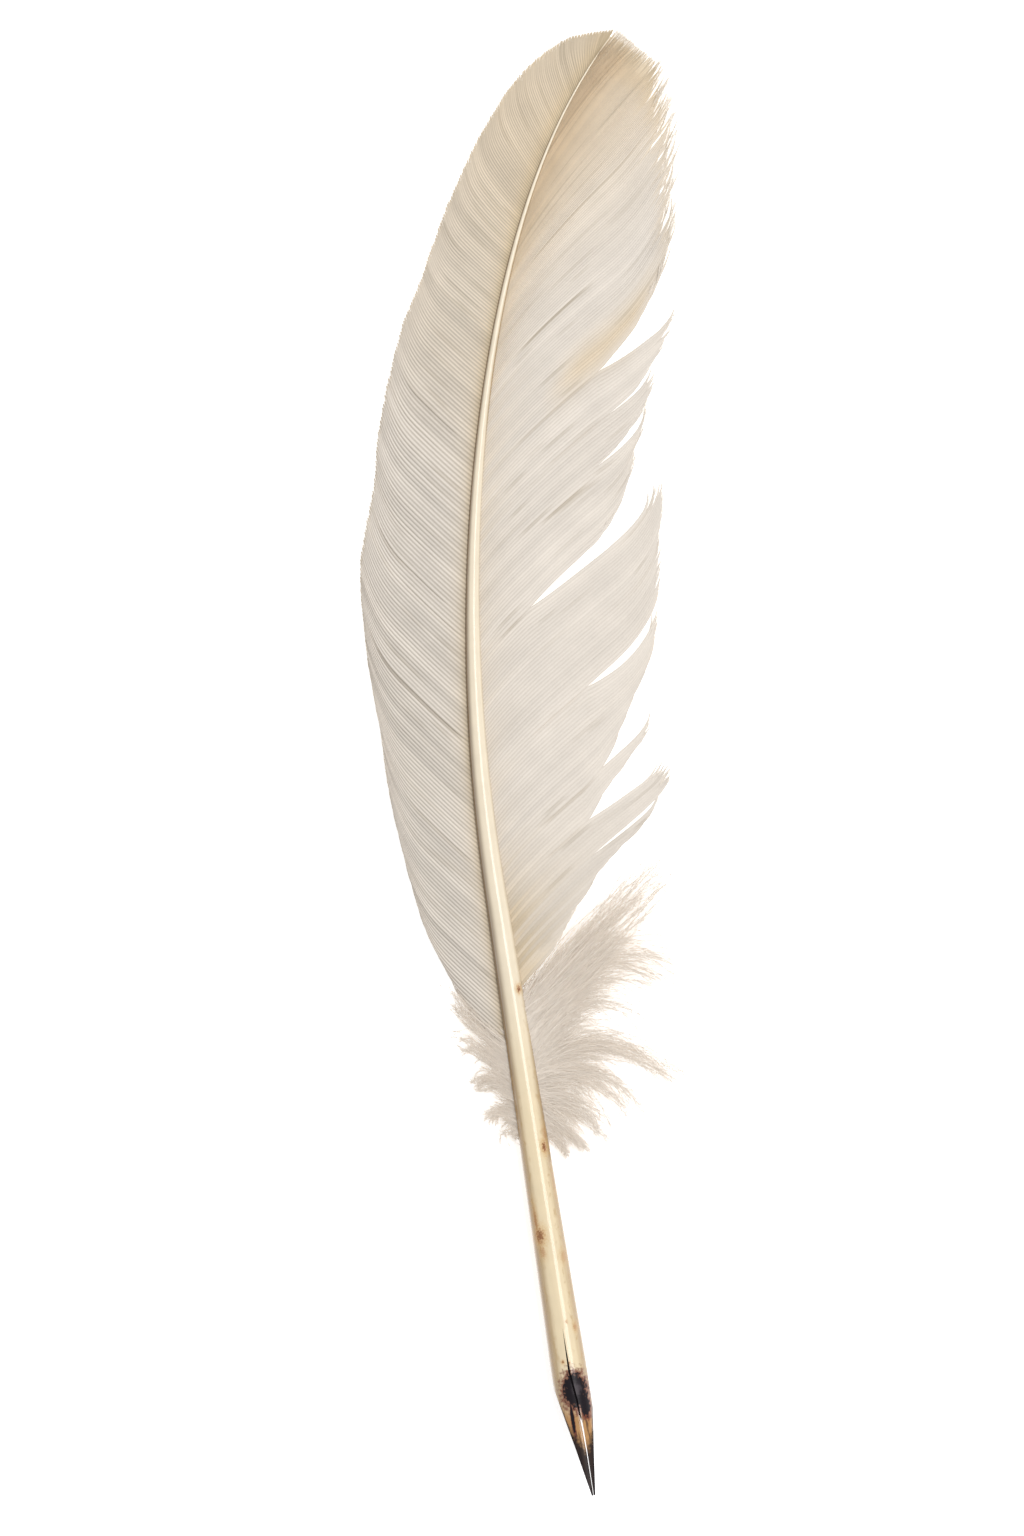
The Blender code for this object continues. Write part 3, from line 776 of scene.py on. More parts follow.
def cut(piece, cutter):
    """Cut one piece out of another and drop the cutter."""
    step = piece.modifiers.new("cut", "BOOLEAN")
    step.operation = "DIFFERENCE"
    step.solver = "EXACT"
    step.object = cutter
    apply_modifier(piece, step)
    bpy.data.objects.remove(cutter)


def select_only(*pieces):
    """Select these pieces alone; the first is the active one."""
    bpy.ops.object.select_all(action="DESELECT")
    for piece in pieces:
        piece.select_set(True)
    bpy.context.view_layer.objects.active = pieces[0]


def apply_modifier(piece, modifier):
    select_only(piece)
    bpy.ops.object.modifier_apply(modifier=modifier.name)


def set_attribute(mesh, name, values, shape=None):
    """Store one number for each vertex, from values that are spread to the shape."""
    values = np.broadcast_to(values, shape or np.shape(values)).astype(np.float32)
    mesh.attributes.new(name, "FLOAT", "POINT").data.foreach_set("value", values.ravel())


def vertex_places(mesh):
    places = np.empty(len(mesh.vertices) * 3, np.float32)
    mesh.vertices.foreach_get("co", places)
    return places.reshape(-1, 3)


def cut_scoop(piece):
    """Cut the underside away below the nib, in a curve that sweeps up from the barrel."""
    top = float(shaft_height(BARREL_END)) + TONGUE_RISE
    x = -CUTTER_REACH
    scoop = [(x, -PAST_POINT, -BELOW_TABLE), (x, SCOOP_END + 3 * MM, -BELOW_TABLE)]
    for share in np.linspace(0, 1, 12):
        y = SCOOP_END + (BARREL_END + 1 * MM - SCOOP_END) * share
        scoop.append((x, y, top * (1 - (1 - share) ** SCOOP_CURVE)))
    scoop.append((x, -PAST_POINT, top))
    cut(piece, extrude_outline("scoop", scoop, NIB, (2 * CUTTER_REACH, 0, 0)))


def cut_nib(piece):
    """Taper the nib on both sides, a little hollow, and open its slit."""
    for side, shoulder in ((-1, SHOULDER_LEFT), (1, SHOULDER_RIGHT)):
        point_x = NIB_POINT_X + side * NIB_POINT_WIDTH / 2
        hollow_x = point_x + (shoulder[0] - point_x) * NIB_HOLLOW[0]
        corners = (
            shoulder,
            (hollow_x, shoulder[1] * NIB_HOLLOW[1]),
            (point_x, 0),
            (point_x, -PAST_POINT),
            (side * CUTTER_REACH, -PAST_POINT),
            (side * CUTTER_REACH, shoulder[1] + 0.5 * MM),
        )
        outline = [(x, y, -BELOW_TABLE) for x, y in corners]
        cut(piece, extrude_outline("nib side", outline, NIB, (0, 0, CUTTER_HEIGHT)))
    outline = [(x * MM, y * MM, float(shaft_height(BARREL_END))) for x, y in SLIT_OUTLINE]
    cut(piece, extrude_outline("slit", outline, NIB, (0, 0, CUTTER_HEIGHT)))


def make_shaft_piece(settings):
    """The whole shaft with the pen cut, and its places along and across marked."""
    fine = np.arange(0, SCOOP_END, FINE_STEP)
    stations = np.concatenate((fine, np.linspace(SCOOP_END, SHAFT_LENGTH, 72)))
    sides = settings.sides
    piece = extrude_shaft("quill_shaft", sides, stations, groove=settings.groove)
    bore_stations = np.concatenate(([-PAST_POINT], np.linspace(BARREL_END, HOLLOW_END, 8)))
    cut(piece, extrude_shaft("bore", sides, bore_stations, narrower=settings.wall))
    cut_scoop(piece)
    cut_nib(piece)
    bevel = piece.modifiers.new("edges", "BEVEL")
    bevel.width = settings.edge_bevel
    bevel.segments = 1
    bevel.limit_method = "ANGLE"
    bevel.angle_limit = math.radians(50)
    apply_modifier(piece, bevel)
    bpy.ops.object.shade_smooth_by_angle(angle=math.radians(40))
    mark_shaft(piece)
    return piece


def make_slit_shade_sheet(settings):
    """A dark sheet that spans the upper part of the slit from below; it stands in for the shade
    inside the barrel seen through the slit.
    """
    s = 25 * MM
    top = float(shaft_height(s) + shaft_radius(s)) - settings.wall
    outline = [(x * MM, y * MM, top - 0.25 * MM) for x, y in SLIT_SHADE_OUTLINE]
    shade_sheet = extrude_outline("slit_shade_sheet", outline, NIB, (0, 0, SLIT_SHADE_THICKNESS))
    finish = Finish("slit shade")
    mottle = finish.noise(finish.place(), 1.5)
    colour = finish.scale_colour(settings.ink, mottle + 0.6)
    constants = {"Specular IOR Level": 0.2}
    finish_piece(shade_sheet, finish.finish(colour, mottle * 0.3 + 0.5, constants))


def mark_shaft(piece):
    """Store how far along the shaft each vertex is, and how far across it in radii."""
    places = vertex_places(piece.data) - NIB
    coarse = slice(None, None, 5)
    dx = places[:, None, 0] - PLAN_X[None, coarse]
    dy = places[:, None, 1] - PLAN_Y[None, coarse]
    nearest = np.argmin(dx * dx + dy * dy, axis=1)
    s = PLAN_S[coarse][nearest]
    angle = heading(s)
    rows = np.arange(len(places))
    offset = dx[rows, nearest] * np.cos(angle) - dy[rows, nearest] * np.sin(angle)
    set_attribute(piece.data, "along", s / MM)
    set_attribute(piece.data, "across", offset / shaft_radius(s))


def strand_template(section, stations):
    """One straight strand along +Y, its section given as (x, z), a ring for each station."""
    piece = start_ring("strand", len(section), 1, (0, 0, 0))
    mesh = bmesh.from_edit_mesh(piece.data)
    for vertex, (x, z) in zip(mesh.verts, section):
        vertex.co = (x, 0, z)
    bmesh.update_edit_mesh(piece.data)
    for index in range(stations - 1):
        extrude_by((0, 1, 0))
    end_edit()
    return piece


def lay_strands(name, section, centres, sides, ups):
    """One mesh of many strands: a template's sections put at the centres of each route.

    centres, sides and ups are arrays of routes, stations and xyz; a section's x goes along
    the side vector and its z along the up vector, whose lengths are the strand's size there.
    Gives the piece, and the station and the corner of each vertex of the template.
    """
    template = strand_template(section, centres.shape[1])
    mesh = template.data
    corners = vertex_places(mesh)
    station = np.rint(corners[:, 1]).astype(int)
    places = centres[:, station] + sides[:, station] * corners[None, :, :1]
    places = places + ups[:, station] * corners[None, :, 2:]
    loops = np.empty(len(mesh.loops), np.int32)
    mesh.loops.foreach_get("vertex_index", loops)
    starts = np.empty(len(mesh.polygons), np.int32)
    mesh.polygons.foreach_get("loop_start", starts)
    copies = np.arange(len(centres), dtype=np.int32)[:, None]

    joined = bpy.data.meshes.new(name)
    joined.vertices.add(places.shape[0] * places.shape[1])
    joined.vertices.foreach_set("co", places.astype(np.float32).ravel())
    joined.loops.add(len(loops) * len(centres))
    joined.loops.foreach_set("vertex_index", (loops[None] + copies * len(corners)).ravel())
    joined.polygons.add(len(starts) * len(centres))
    joined.polygons.foreach_set("loop_start", (starts[None] + copies * len(loops)).ravel())
    joined.update(calc_edges=True)
    joined.shade_smooth()
    joined.set_sharp_from_angle(angle=SHARP_ANGLE)
    piece = bpy.data.objects.new(name, joined)
    bpy.context.scene.collection.objects.link(piece)
    bpy.data.objects.remove(template)
    return piece, station, corners


def finish_piece(piece, finish):
    """Give a piece its material and its place in the frame."""
    piece.data.materials.clear()
    piece.data.materials.append(finish)
    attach(piece, "root")
    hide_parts("feather")


# Vanes

def lean(side, base, s, distance):
    """A barb's direction in plan, clockwise from the shaft's."""
    share = distance / table_at(BEND_FULL[side], base)
    bend = np.radians(table_at(END_BEND[side], base) / MM) * smooth(share, BEND_FROM[side], 1.05)
    angle = LEAN[side] + LEAN_AT_SHAFT[side] * np.exp(-distance / LEAN_FADE) - side * bend
    if side > 0:
        angle = angle - RIGHT_LEAN_LESS * smooth(base, 205 * MM, 240 * MM)
    else:
        near_tip = np.clip((s - LEFT_TURN_START) / (LEFT_TURN_END - LEFT_TURN_START), 0, 1)
        angle = angle + LEFT_LEAN_AT_TIP * near_tip ** 1.3
    return side * np.maximum(LEAST_LEAN, side * (angle - heading(s)))


def barb_routes(side, bases, reaches, stations):
    """How far along and out each barb is at evenly spread stations, as two arrays."""
    step = 0.25 * MM
    s = bases.copy()
    distance = np.zeros_like(s)
    steps_made = np.zeros(len(s))
    track = [(s, distance)]
    growing = np.ones(len(s), bool)
    while growing.any():
        angle = lean(side, bases, s, distance)
        s = s + np.cos(angle) * step * growing
        distance = distance + np.abs(np.sin(angle)) * step * growing
        steps_made += growing
        track.append((s, distance))
        growing = (distance < reaches) & (s < BARB_END)
    track = np.array(track)
    shares = np.linspace(0, 1, stations)
    count = np.arange(len(track))
    along = [np.interp(shares * steps_made[i], count, track[:, 0, i]) for i in range(len(bases))]
    out = [np.interp(shares * steps_made[i], count, track[:, 1, i]) for i in range(len(bases))]
    return np.array(along), np.array(out)


def vane_routes(side, bases, reaches, stations):
    """Routes of a whole vane; past the last barb they close in on the tip."""
    last = LAST_BARB[side]
    along, out = barb_routes(side, np.minimum(bases, last), reaches, stations)
    last_reach = table_at(REACH[side], [last])
    last_along, last_out = barb_routes(side, np.array([last]), last_reach, stations)
    shares = np.linspace(0, 1, stations)[None]
    past = ((bases - last) / (VANE_END - last))[:, None]
    tip_along = VANE_END + (BARB_END - VANE_END) * shares
    closing_along = last_along + (tip_along - last_along) * past
    closing_out = last_out + (TIP_HALF_WIDTH * shares - last_out) * past
    return np.where(past > 0, closing_along, along), np.where(past > 0, closing_out, out)


def split_shift(base, distance):
    """How far a barb is moved along the shaft by the splits near it."""
    shift = np.zeros_like(distance)
    for split, root, up, down in SPLITS:
        grown = 1 - np.exp(-np.maximum(0, distance / MM - root) / SPLIT_GROWTH)
        fade = np.exp(-np.abs(base / MM - split) / SPLIT_FADE)
        shift += np.where(base / MM > split, up, -down) * MM * grown * fade
    return shift


def vane_height(side, base, s, distance):
    """Out from the rachis the vane droops to the table, with soft waves along its edge."""
    start = np.maximum(LOWEST_VANE, shaft_height(s) + RACHIS_STANDS * shaft_radius(s))
    share = np.minimum(1, distance / table_at(ENVELOPE[side], base))
    edge = LOWEST_VANE + EDGE_WAVE * (1 + np.sin(base / EDGE_WAVE_PERIOD * math.tau + side))
    folds = soft_noise(base, 20 + side, FOLD_LENGTHS) * FOLD_HEIGHT * smooth(share, 0.15, 0.8)
    return start + (edge - start) * share ** DROOP_POWER + folds


def creases(side, base, distance):
    """How much painted shadow and how raised a vane is where its barbs part or overlap."""
    dark = np.zeros_like(distance)
    raised = np.zeros_like(distance)
    out = distance / MM
    for crease_side, place, start, end, darkness, step in CREASES:
        if crease_side != side:
            continue
        within = smooth(out, start, start + 3) * smooth(out, end, end - 4)
        past = base / MM - place
        line = np.where(past < 0, np.exp(past / 0.35), 0) * (past > -0.7)
        dark = np.maximum(dark, line * darkness * within)
        bulge = np.where(past > 0, np.exp(-past / 4), -0.5 * np.exp(past / 2))
        raised += bulge * step * MM * within
    return dark, raised


class Vane:
    """The barbs of one vane as arrays of routes and stations."""

    def __init__(self, side, settings):
        count = settings.right_barbs if side > 0 else settings.left_barbs
        random = np.random.default_rng(7 + side)
        fine = np.linspace(VANE_START[side], VANE_END, 400)
        crowding = np.cumsum(1 + TIP_CROWDING[side] * smooth(fine, 190 * MM, 262 * MM))
        base = np.interp(np.linspace(crowding[0], crowding[-1], count), crowding, fine)
        self.fray = self.frayed(side, base)
        uneven = random.normal(0, 1, count) * (0.03 + self.fray * 0.2) * MM
        reach = table_at(REACH[side], base)
        reach = np.maximum(0.4 * MM, reach + uneven * np.minimum(1, reach / (8 * MM)))
        along, out = vane_routes(side, base, reach, settings.stations)
        base = base[:, None] * np.ones_like(along)
        self.gap = self.spacing(beside_shaft(along, side * out, 0))
        self.dark, raised = creases(side, base, out)
        height = vane_height(side, base, along, out) + raised * smooth(out, 0, 3 * MM)
        if side > 0:
            along = along + split_shift(base, out)
        centre = beside_shaft(along, side * out, height)
        lengths = np.linalg.norm(np.diff(centre, axis=1), axis=2)
        travelled = np.concatenate((np.zeros((count, 1)), np.cumsum(lengths, axis=1)), axis=1)
        self.left_over = travelled[:, -1:] - travelled
        tangent = np.gradient(centre, axis=1)
        tangent /= np.linalg.norm(tangent, axis=2, keepdims=True)
        across = np.stack((tangent[..., 1], -tangent[..., 0], 0 * tangent[..., 0]), axis=-1)
        across /= np.linalg.norm(across, axis=2, keepdims=True)
        bend = self.fray[:, None] * random.uniform(0.02, 0.09, (count, 1))
        near_tip = np.maximum(0, 6 * MM - self.left_over) ** 2 / MM
        centre = centre - across * side * (bend * near_tip)[..., None]
        centre[..., 2] = np.maximum(centre[..., 2], LOWEST_VANE)
        self.side, self.base, self.along, self.out = side, base, along, out
        self.centre, self.tangent, self.across = centre, tangent, across
        self.travelled, self.random = travelled, random

    @staticmethod
    def frayed(side, base):
        """How frayed the barbs' ends are, from 0 for a closed edge to 1."""
        place = base / MM
        if side < 0:
            return smooth(place, 108, 86) * 0.8 + 0.04
        fray = 0.35 + 0.5 * smooth(place, 186, 205)
        for split, root, up, down in SPLITS:
            fray = np.maximum(fray, np.where(place < split, np.exp((place - split) / 3), 0))
        fray = np.maximum(fray, smooth(place, 108, 98))
        return fray * (0.12 + 0.88 * smooth(place, 251, 226))

    @staticmethod
    def spacing(flat):
        """The gap between neighbouring barbs, square to them."""
        tangent = np.gradient(flat, axis=1)
        tangent /= np.linalg.norm(tangent, axis=2, keepdims=True)
        between = np.gradient(flat, axis=0)
        gap = np.abs(between[..., 0] * tangent[..., 1] - between[..., 1] * tangent[..., 0])
        near = np.stack([np.roll(gap, shift, axis=0) for shift in range(-4, 5)])
        return np.clip(gap, 0.12 * MM, np.median(near, axis=0) * 1.25)


def painted_parting_shade(vane, out):
    """Painted shade: short darker stretches of some barbs, where they have parted a little and
    shade shows between them.
    """
    count = len(vane.base)
    chosen = vane.random.random((count, 1)) < 0.34
    middle = vane.random.uniform(0.15, 1.0, (count, 1)) * out[:, -1:]
    half = vane.random.uniform(1.5, 6.0, (count, 1))
    strength = vane.random.uniform(0.04, 0.26, (count, 1))
    return chosen * strength * smooth(np.abs(out - middle), half, half * 0.3)


def left_looks(vane, place, out, left_over, one_by_one, bands):
    """How ribbed, warm, light and streaked the left vane is, with painted shade by the rachis and
    along its edge.
    """
    beside = np.maximum(0, out - shaft_radius(vane.along) / MM)
    ribbed = 0.9 * smooth(left_over, 1.0, 5.5)
    # Painted shade: the first term darkens the strip by the rachis, where it shades the vane.
    warm = 0.75 * np.exp(-beside / 1.5) + 0.35 * smooth(left_over, 0.9, 0.2)
    warm += 0.30 * smooth(place, 185, 220) + 0.36 * smooth(place, 220, 262)
    tone = one_by_one * 0.5 + bands * 0.7 + 0.35 * smooth(out, 8, 18) - 0.45
    # Painted shade by the rachis, and the painted shade of partings.
    streak_and_shade = np.maximum(0.42 * np.exp(-beside / 0.55), painted_parting_shade(vane, out) * 0.7)
    # Painted shade: a dark line along the left edge.
    painted_edge_shade = 0.34 * smooth(left_over, 0.9, 0.2) * smooth(place, 215, 190)
    return ribbed, warm, tone, np.maximum(streak_and_shade, painted_edge_shade)


def right_looks(vane, place, out, left_over, one_by_one, bands):
    """How ribbed, warm, light and streaked the right vane is, with painted shade where barbs part.
    """
    single = (len(vane.base), 1)
    ribbed = 0.34 * smooth(left_over, 0.5, 4.0) * (0.5 + 0.5 * smooth(out, 22, 6))
    patch = np.exp(-((place - 197) / 4.0) ** 2) * smooth(out, 10, 18) * smooth(out, 29, 25)
    warm = np.exp(-out / 3.5) * (0.34 + 0.10 * smooth(place, 165, 190))
    warm += 1.15 * np.exp(-out / 6.5) * smooth(place, 126, 100)
    warm *= 0.6 + 0.8 * vane.random.random(single)
    warm += 0.7 * patch + 0.6 * smooth(place, 208, 252)
    warm += 0.35 * smooth(left_over, 9, 3) * smooth(place, 186, 205)
    tone = one_by_one * 0.3 + bands * 0.45 + 0.25 * smooth(out, 4, 14) - 0.5
    tone += 0.45 * smooth(place, 215, 250)
    frayed_edge = smooth(place, 186, 205) * smooth(left_over, 5.0, 2.0)
    streak_and_shade = frayed_edge * (vane.random.random(single) > 0.6) * 0.3
    streak_and_shade = np.maximum(streak_and_shade, painted_parting_shade(vane, out))
    brown = (vane.random.random(single) > 0.5) * 0.42 * np.exp(-out / 6)
    streak_and_shade = np.maximum(streak_and_shade, brown * smooth(place, 128, 106))
    return ribbed * smooth(place, 100, 125), np.minimum(warm, 0.8), tone, streak_and_shade


def make_vane(side, settings, finish):
    """All barbs of one vane, each a ridge with a strip of web on both sides."""
    vane = Vane(side, settings)
    fray = vane.fray[:, None]
    closed = smooth(vane.left_over, 0, 0.7 * MM + 4.2 * MM * fray)
    tip_width = np.where(fray > FRAYED_FROM, FRAYED_TIP_WIDTH, CLOSED_TIP_WIDTH)
    width = vane.gap * BARB_OVERLAP * (tip_width + (1 - tip_width) * closed)
    sides = vane.across * width[..., None]
    sides[..., 2] -= side * BARB_TILT * width
    ups = np.zeros_like(sides)
    ups[..., 2] = settings.thickness * (0.35 + 0.65 * smooth(vane.left_over, 0, 5 * MM))
    name = SIDE_NAMES[side] + "_vane"
    piece, station, corners = lay_strands(name, BARB_SECTION, vane.centre, sides, ups)

    away = np.abs(corners[:, None, ::2] - np.array(BARB_SECTION)).sum(axis=2)
    crest = np.array(SECTION_PAINTED_LIGHT)[away.argmin(axis=1)]
    one_by_one = vane.random.normal(0, 0.28, (len(vane.base), 1))
    # Painted light and shade: lighter and darker bands along each vane stand for its soft folds.
    bands = soft_noise(vane.base, 40 + side, BAND_LENGTHS)
    looks = left_looks if side < 0 else right_looks
    millimetres = (vane.base / MM, vane.out / MM, vane.left_over / MM)
    ribbed, warm, tone, streak_and_shade = looks(vane, *millimetres, one_by_one, bands)
    # Painted light and shade across each barb, strongest where it is most ribbed.
    contrast = CREST_MIDDLE[side] + (crest[None] - 0.5) * (0.10 + 0.90 * ribbed[:, station])
    set_attribute(piece.data, "crest", contrast)
    set_attribute(piece.data, "tone", tone[:, station])
    set_attribute(piece.data, "warm", np.clip(warm, 0, 1)[:, station])
    # The shade attribute holds painted shadow of creases and partings, painted shade by the rachis
    # and left edge, and the barbs' own streaks.
    set_attribute(piece.data, "shade", np.maximum(vane.dark, streak_and_shade)[:, station])
    set_attribute(piece.data, "along", vane.travelled[:, station] / MM)
    finish_piece(piece, finish)


def unit(vectors):
    return vectors / np.maximum(1e-12, np.linalg.norm(vectors, axis=-1, keepdims=True))


def lay_hairs(name, starts, first, last, lengths, thickness, tones):
    """Hairs that start one way, bend another and taper to nothing; arrays of one row each."""
    shares = np.linspace(0, 1, HAIR_STATIONS)[None, :, None]
    first = first[:, None]
    turn = 0.5 * shares ** 2 * (last[:, None] - first)
    routes = starts[:, None] + lengths[:, None, None] * (shares * first + turn)
    routes[..., 2] = np.maximum(routes[..., 2], LOWEST_HAIR)
    taper = thickness[:, None, None] * (1 - 0.75 * shares)
    tangent = unit(np.gradient(routes, axis=1))
    return lay_tapered(name, HAIR_SECTION, routes, tangent, taper, taper, (0, 1), tones)


def lay_tapered(name, section, routes, tangent, widths, heights, along, tones):
    """Strands along routes, with how far along each vertex is and each strand's tone."""
    across = unit(np.cross(tangent, (0, 0, 1.0)))
    up = np.cross(across, tangent)
    piece, station, corners = lay_strands(name, section, routes, across * widths, up * heights)
    shape = (len(routes), len(station))
    steps = np.linspace(*along, routes.shape[1])
    set_attribute(piece.data, "along", steps[station], shape)
    set_attribute(piece.data, "tone", tones[:, None], shape)
    return piece


def make_fringe(side, settings, finish):
    """Loose hairs at the frayed ends of the barbs."""
    vane = Vane(side, settings)
    random = np.random.default_rng(31 + side)
    hairs = np.rint(4 + vane.fray * FRINGE_HAIRS[side]).astype(int)
    rows = np.repeat(np.arange(len(hairs)), hairs)
    count = len(rows)
    length = vane.travelled[rows, -1]
    back = random.uniform(0, 1, count) * (1.0 + 4.5 * vane.fray[rows]) * MM
    share = (1 - np.minimum(length * 0.8, back) / length) * (settings.stations - 1)
    low = np.minimum(share.astype(int), settings.stations - 2)
    part = (share - low)[:, None]
    starts = vane.centre[rows, low] * (1 - part) + vane.centre[rows, low + 1] * part
    tangent = vane.tangent[rows, low]
    across = vane.across[rows, low]
    starts = starts + across * (random.uniform(-0.45, 0.45, count) * vane.gap[rows, low])[:, None]
    tipward = -side * random.normal(0.13, 0.16, count)[:, None]
    first = unit(tangent + across * tipward * 0.6 + random.normal(0, 0.04, (count, 3)))
    last = unit(tangent + across * tipward * 2.4 + random.normal(0, 0.10, (count, 3)))
    lengths = random.uniform(1.0, 3.2, count) * MM * (0.4 + 0.8 * vane.fray[rows])
    thickness = random.uniform(0.03, 0.07, count) * MM
    tones = random.uniform(-0.9, 1.0, count)
    name = SIDE_NAMES[side] + "_fringe"
    finish_piece(lay_hairs(name, starts, first, last, lengths, thickness, tones), finish)


# Down

def stems_of(tufts, first, last, count, random, spread=1.0, in_plumes=0.75):
    """Start, control and end points of stems, most of them gathered in the tufts' plumes."""
    gathered = random.random(count) < in_plumes
    place = random.uniform(first, last, count)
    place = np.where(gathered, np.rint(place) + random.normal(0, 0.10, count), place)
    place = np.clip(place, first, last)
    table = np.array([(base, *passed, *end) for base, passed, end in tufts])
    columns = [np.interp(place, np.arange(len(tufts)), column) for column in table.T]
    base = columns[0] + random.normal(0, 1.4, count)
    passed = np.stack(columns[1:3], axis=-1)
    end = np.stack(columns[3:5], axis=-1)
    side = np.sign(end[:, 0])
    long = np.hypot(end[:, 0], end[:, 1] - base)[:, None]
    end = end + random.normal(0, 1, (count, 2)) * (0.25 + 0.032 * long) * spread
    passed = passed + random.normal(0, 1, (count, 2)) * (0.25 + 0.028 * long) * spread
    root = np.stack((side * 0.5 * shaft_radius(base * MM) / MM, base), axis=-1)
    whole = random.uniform(0.88, 1.12, count)
    shrink = np.where(gathered, whole, random.uniform(0.4, 0.85, count))[:, None]
    control = root + (2 * passed - (root + end) / 2 - root) * shrink
    end = root + (end - root) * shrink
    high = shaft_height(base * MM) / MM
    heights = (
        high * random.uniform(0.5, 1.3, count),
        high * TUFT_ARCH * random.uniform(0.4, 1.4, count),
        random.uniform(0.3, 2.4, count),
    )
    flats = (root, control, end)
    return [np.column_stack(point) * MM + NIB for point in zip(flats, heights)]


def along_stems(stems, shares):
    """Places and directions on the stems' curves, a row for each stem."""
    start, control, end = [points[:, None] for points in stems]
    share = shares[..., None]
    places = start * (1 - share) ** 2 + 2 * control * share * (1 - share) + end * share ** 2
    places[..., 2] = np.maximum(places[..., 2], LOWEST_STEM)
    directions = unit(2 * (control - start) * (1 - share) + 2 * (end - control) * share)
    return places, directions


def sweep_stems(name, section, stems, shares, widths, heights, tones):
    """One tapered strand along each stem's curve."""
    places, directions = along_stems(stems, shares)
    sizes = (widths[..., None], heights[..., None])
    return lay_tapered(name, section, places, directions, *sizes, (0.5, 1), tones)


def make_down(name, tufts, reach, settings, seed, fullness, finish):
    """Fluff: stems that fan out from the shaft, each with barbules on both sides."""
    random = np.random.default_rng(seed)
    count = settings.stems
    stems = stems_of(tufts, *reach, count, random)
    size = (count, STALK_STATIONS)
    shares = np.broadcast_to(np.linspace(0, 1, STALK_STATIONS), size)
    taper = np.broadcast_to(np.linspace(0.15, 0.05, STALK_STATIONS) * MM, size)
    tones = random.uniform(-0.6, 0.8, count)
    stalks = sweep_stems(name, STALK_SECTION, stems, shares, taper, taper, tones)

    each = settings.barbules
    one = (count, each, 1)
    shares = np.sort(random.uniform(0.02, 1, (count, each)), axis=1)
    places, directions = along_stems(stems, shares)
    across = unit(np.cross(directions, (0, 0, 1.0)))
    side = np.where(random.random(one) < 0.5, -1, 1)
    splay = random.uniform(0.25, 0.95, one) * (1.15 - 0.5 * shares[..., None])
    rise = random.normal(0, 0.22, one) * np.array((0, 0, 1.0))
    first = unit(directions + across * side * splay + rise)
    curl = random.normal(0, 0.65, (count, each, 3)) * np.array((1, 1, 0.5))
    last = unit(directions * 1.6 + across * side * splay * 0.2 + curl)
    swell = 0.5 + 0.6 * np.sin(math.pi * shares ** 0.8)
    lengths = random.uniform(1.4, 4.0, (count, each)) * swell * fullness * MM
    thickness = random.uniform(0.03, 0.055, count * each) * MM
    tones = random.uniform(-1, 1, count * each)
    flat = [values.reshape(-1, 3) for values in (places, first, last)]
    fluff = lay_hairs(name + " fluff", *flat, lengths.ravel(), thickness, tones)
    select_only(stalks, fluff)
    bpy.ops.object.join()
    finish_piece(stalks, finish)


def make_undercoat(name, tufts, first, count, seed, finish):
    """The dense body of the down by the shaft: many soft strands that overlap."""
    random = np.random.default_rng(seed)
    last = len(tufts) - 1
    stems = stems_of(tufts, first, last, count, random, spread=1.7, in_plumes=0.3)
    single = (count, 1)
    ends = random.uniform(0.3, 0.95, single) * random.uniform(0.7, 1, single)
    steps = np.linspace(0, 1, UNDERCOAT_STATIONS)[None]
    widths = UNDERCOAT_WIDTH * (1 - 0.75 * steps) * random.uniform(0.6, 1.2, single)
    tones = random.uniform(-1.2, 0.2, count)
    shares = ends * steps
    piece = sweep_stems(name, HAIR_SECTION, stems, shares, widths, widths * 0.6, tones)
    finish_piece(piece, finish)


# Operators

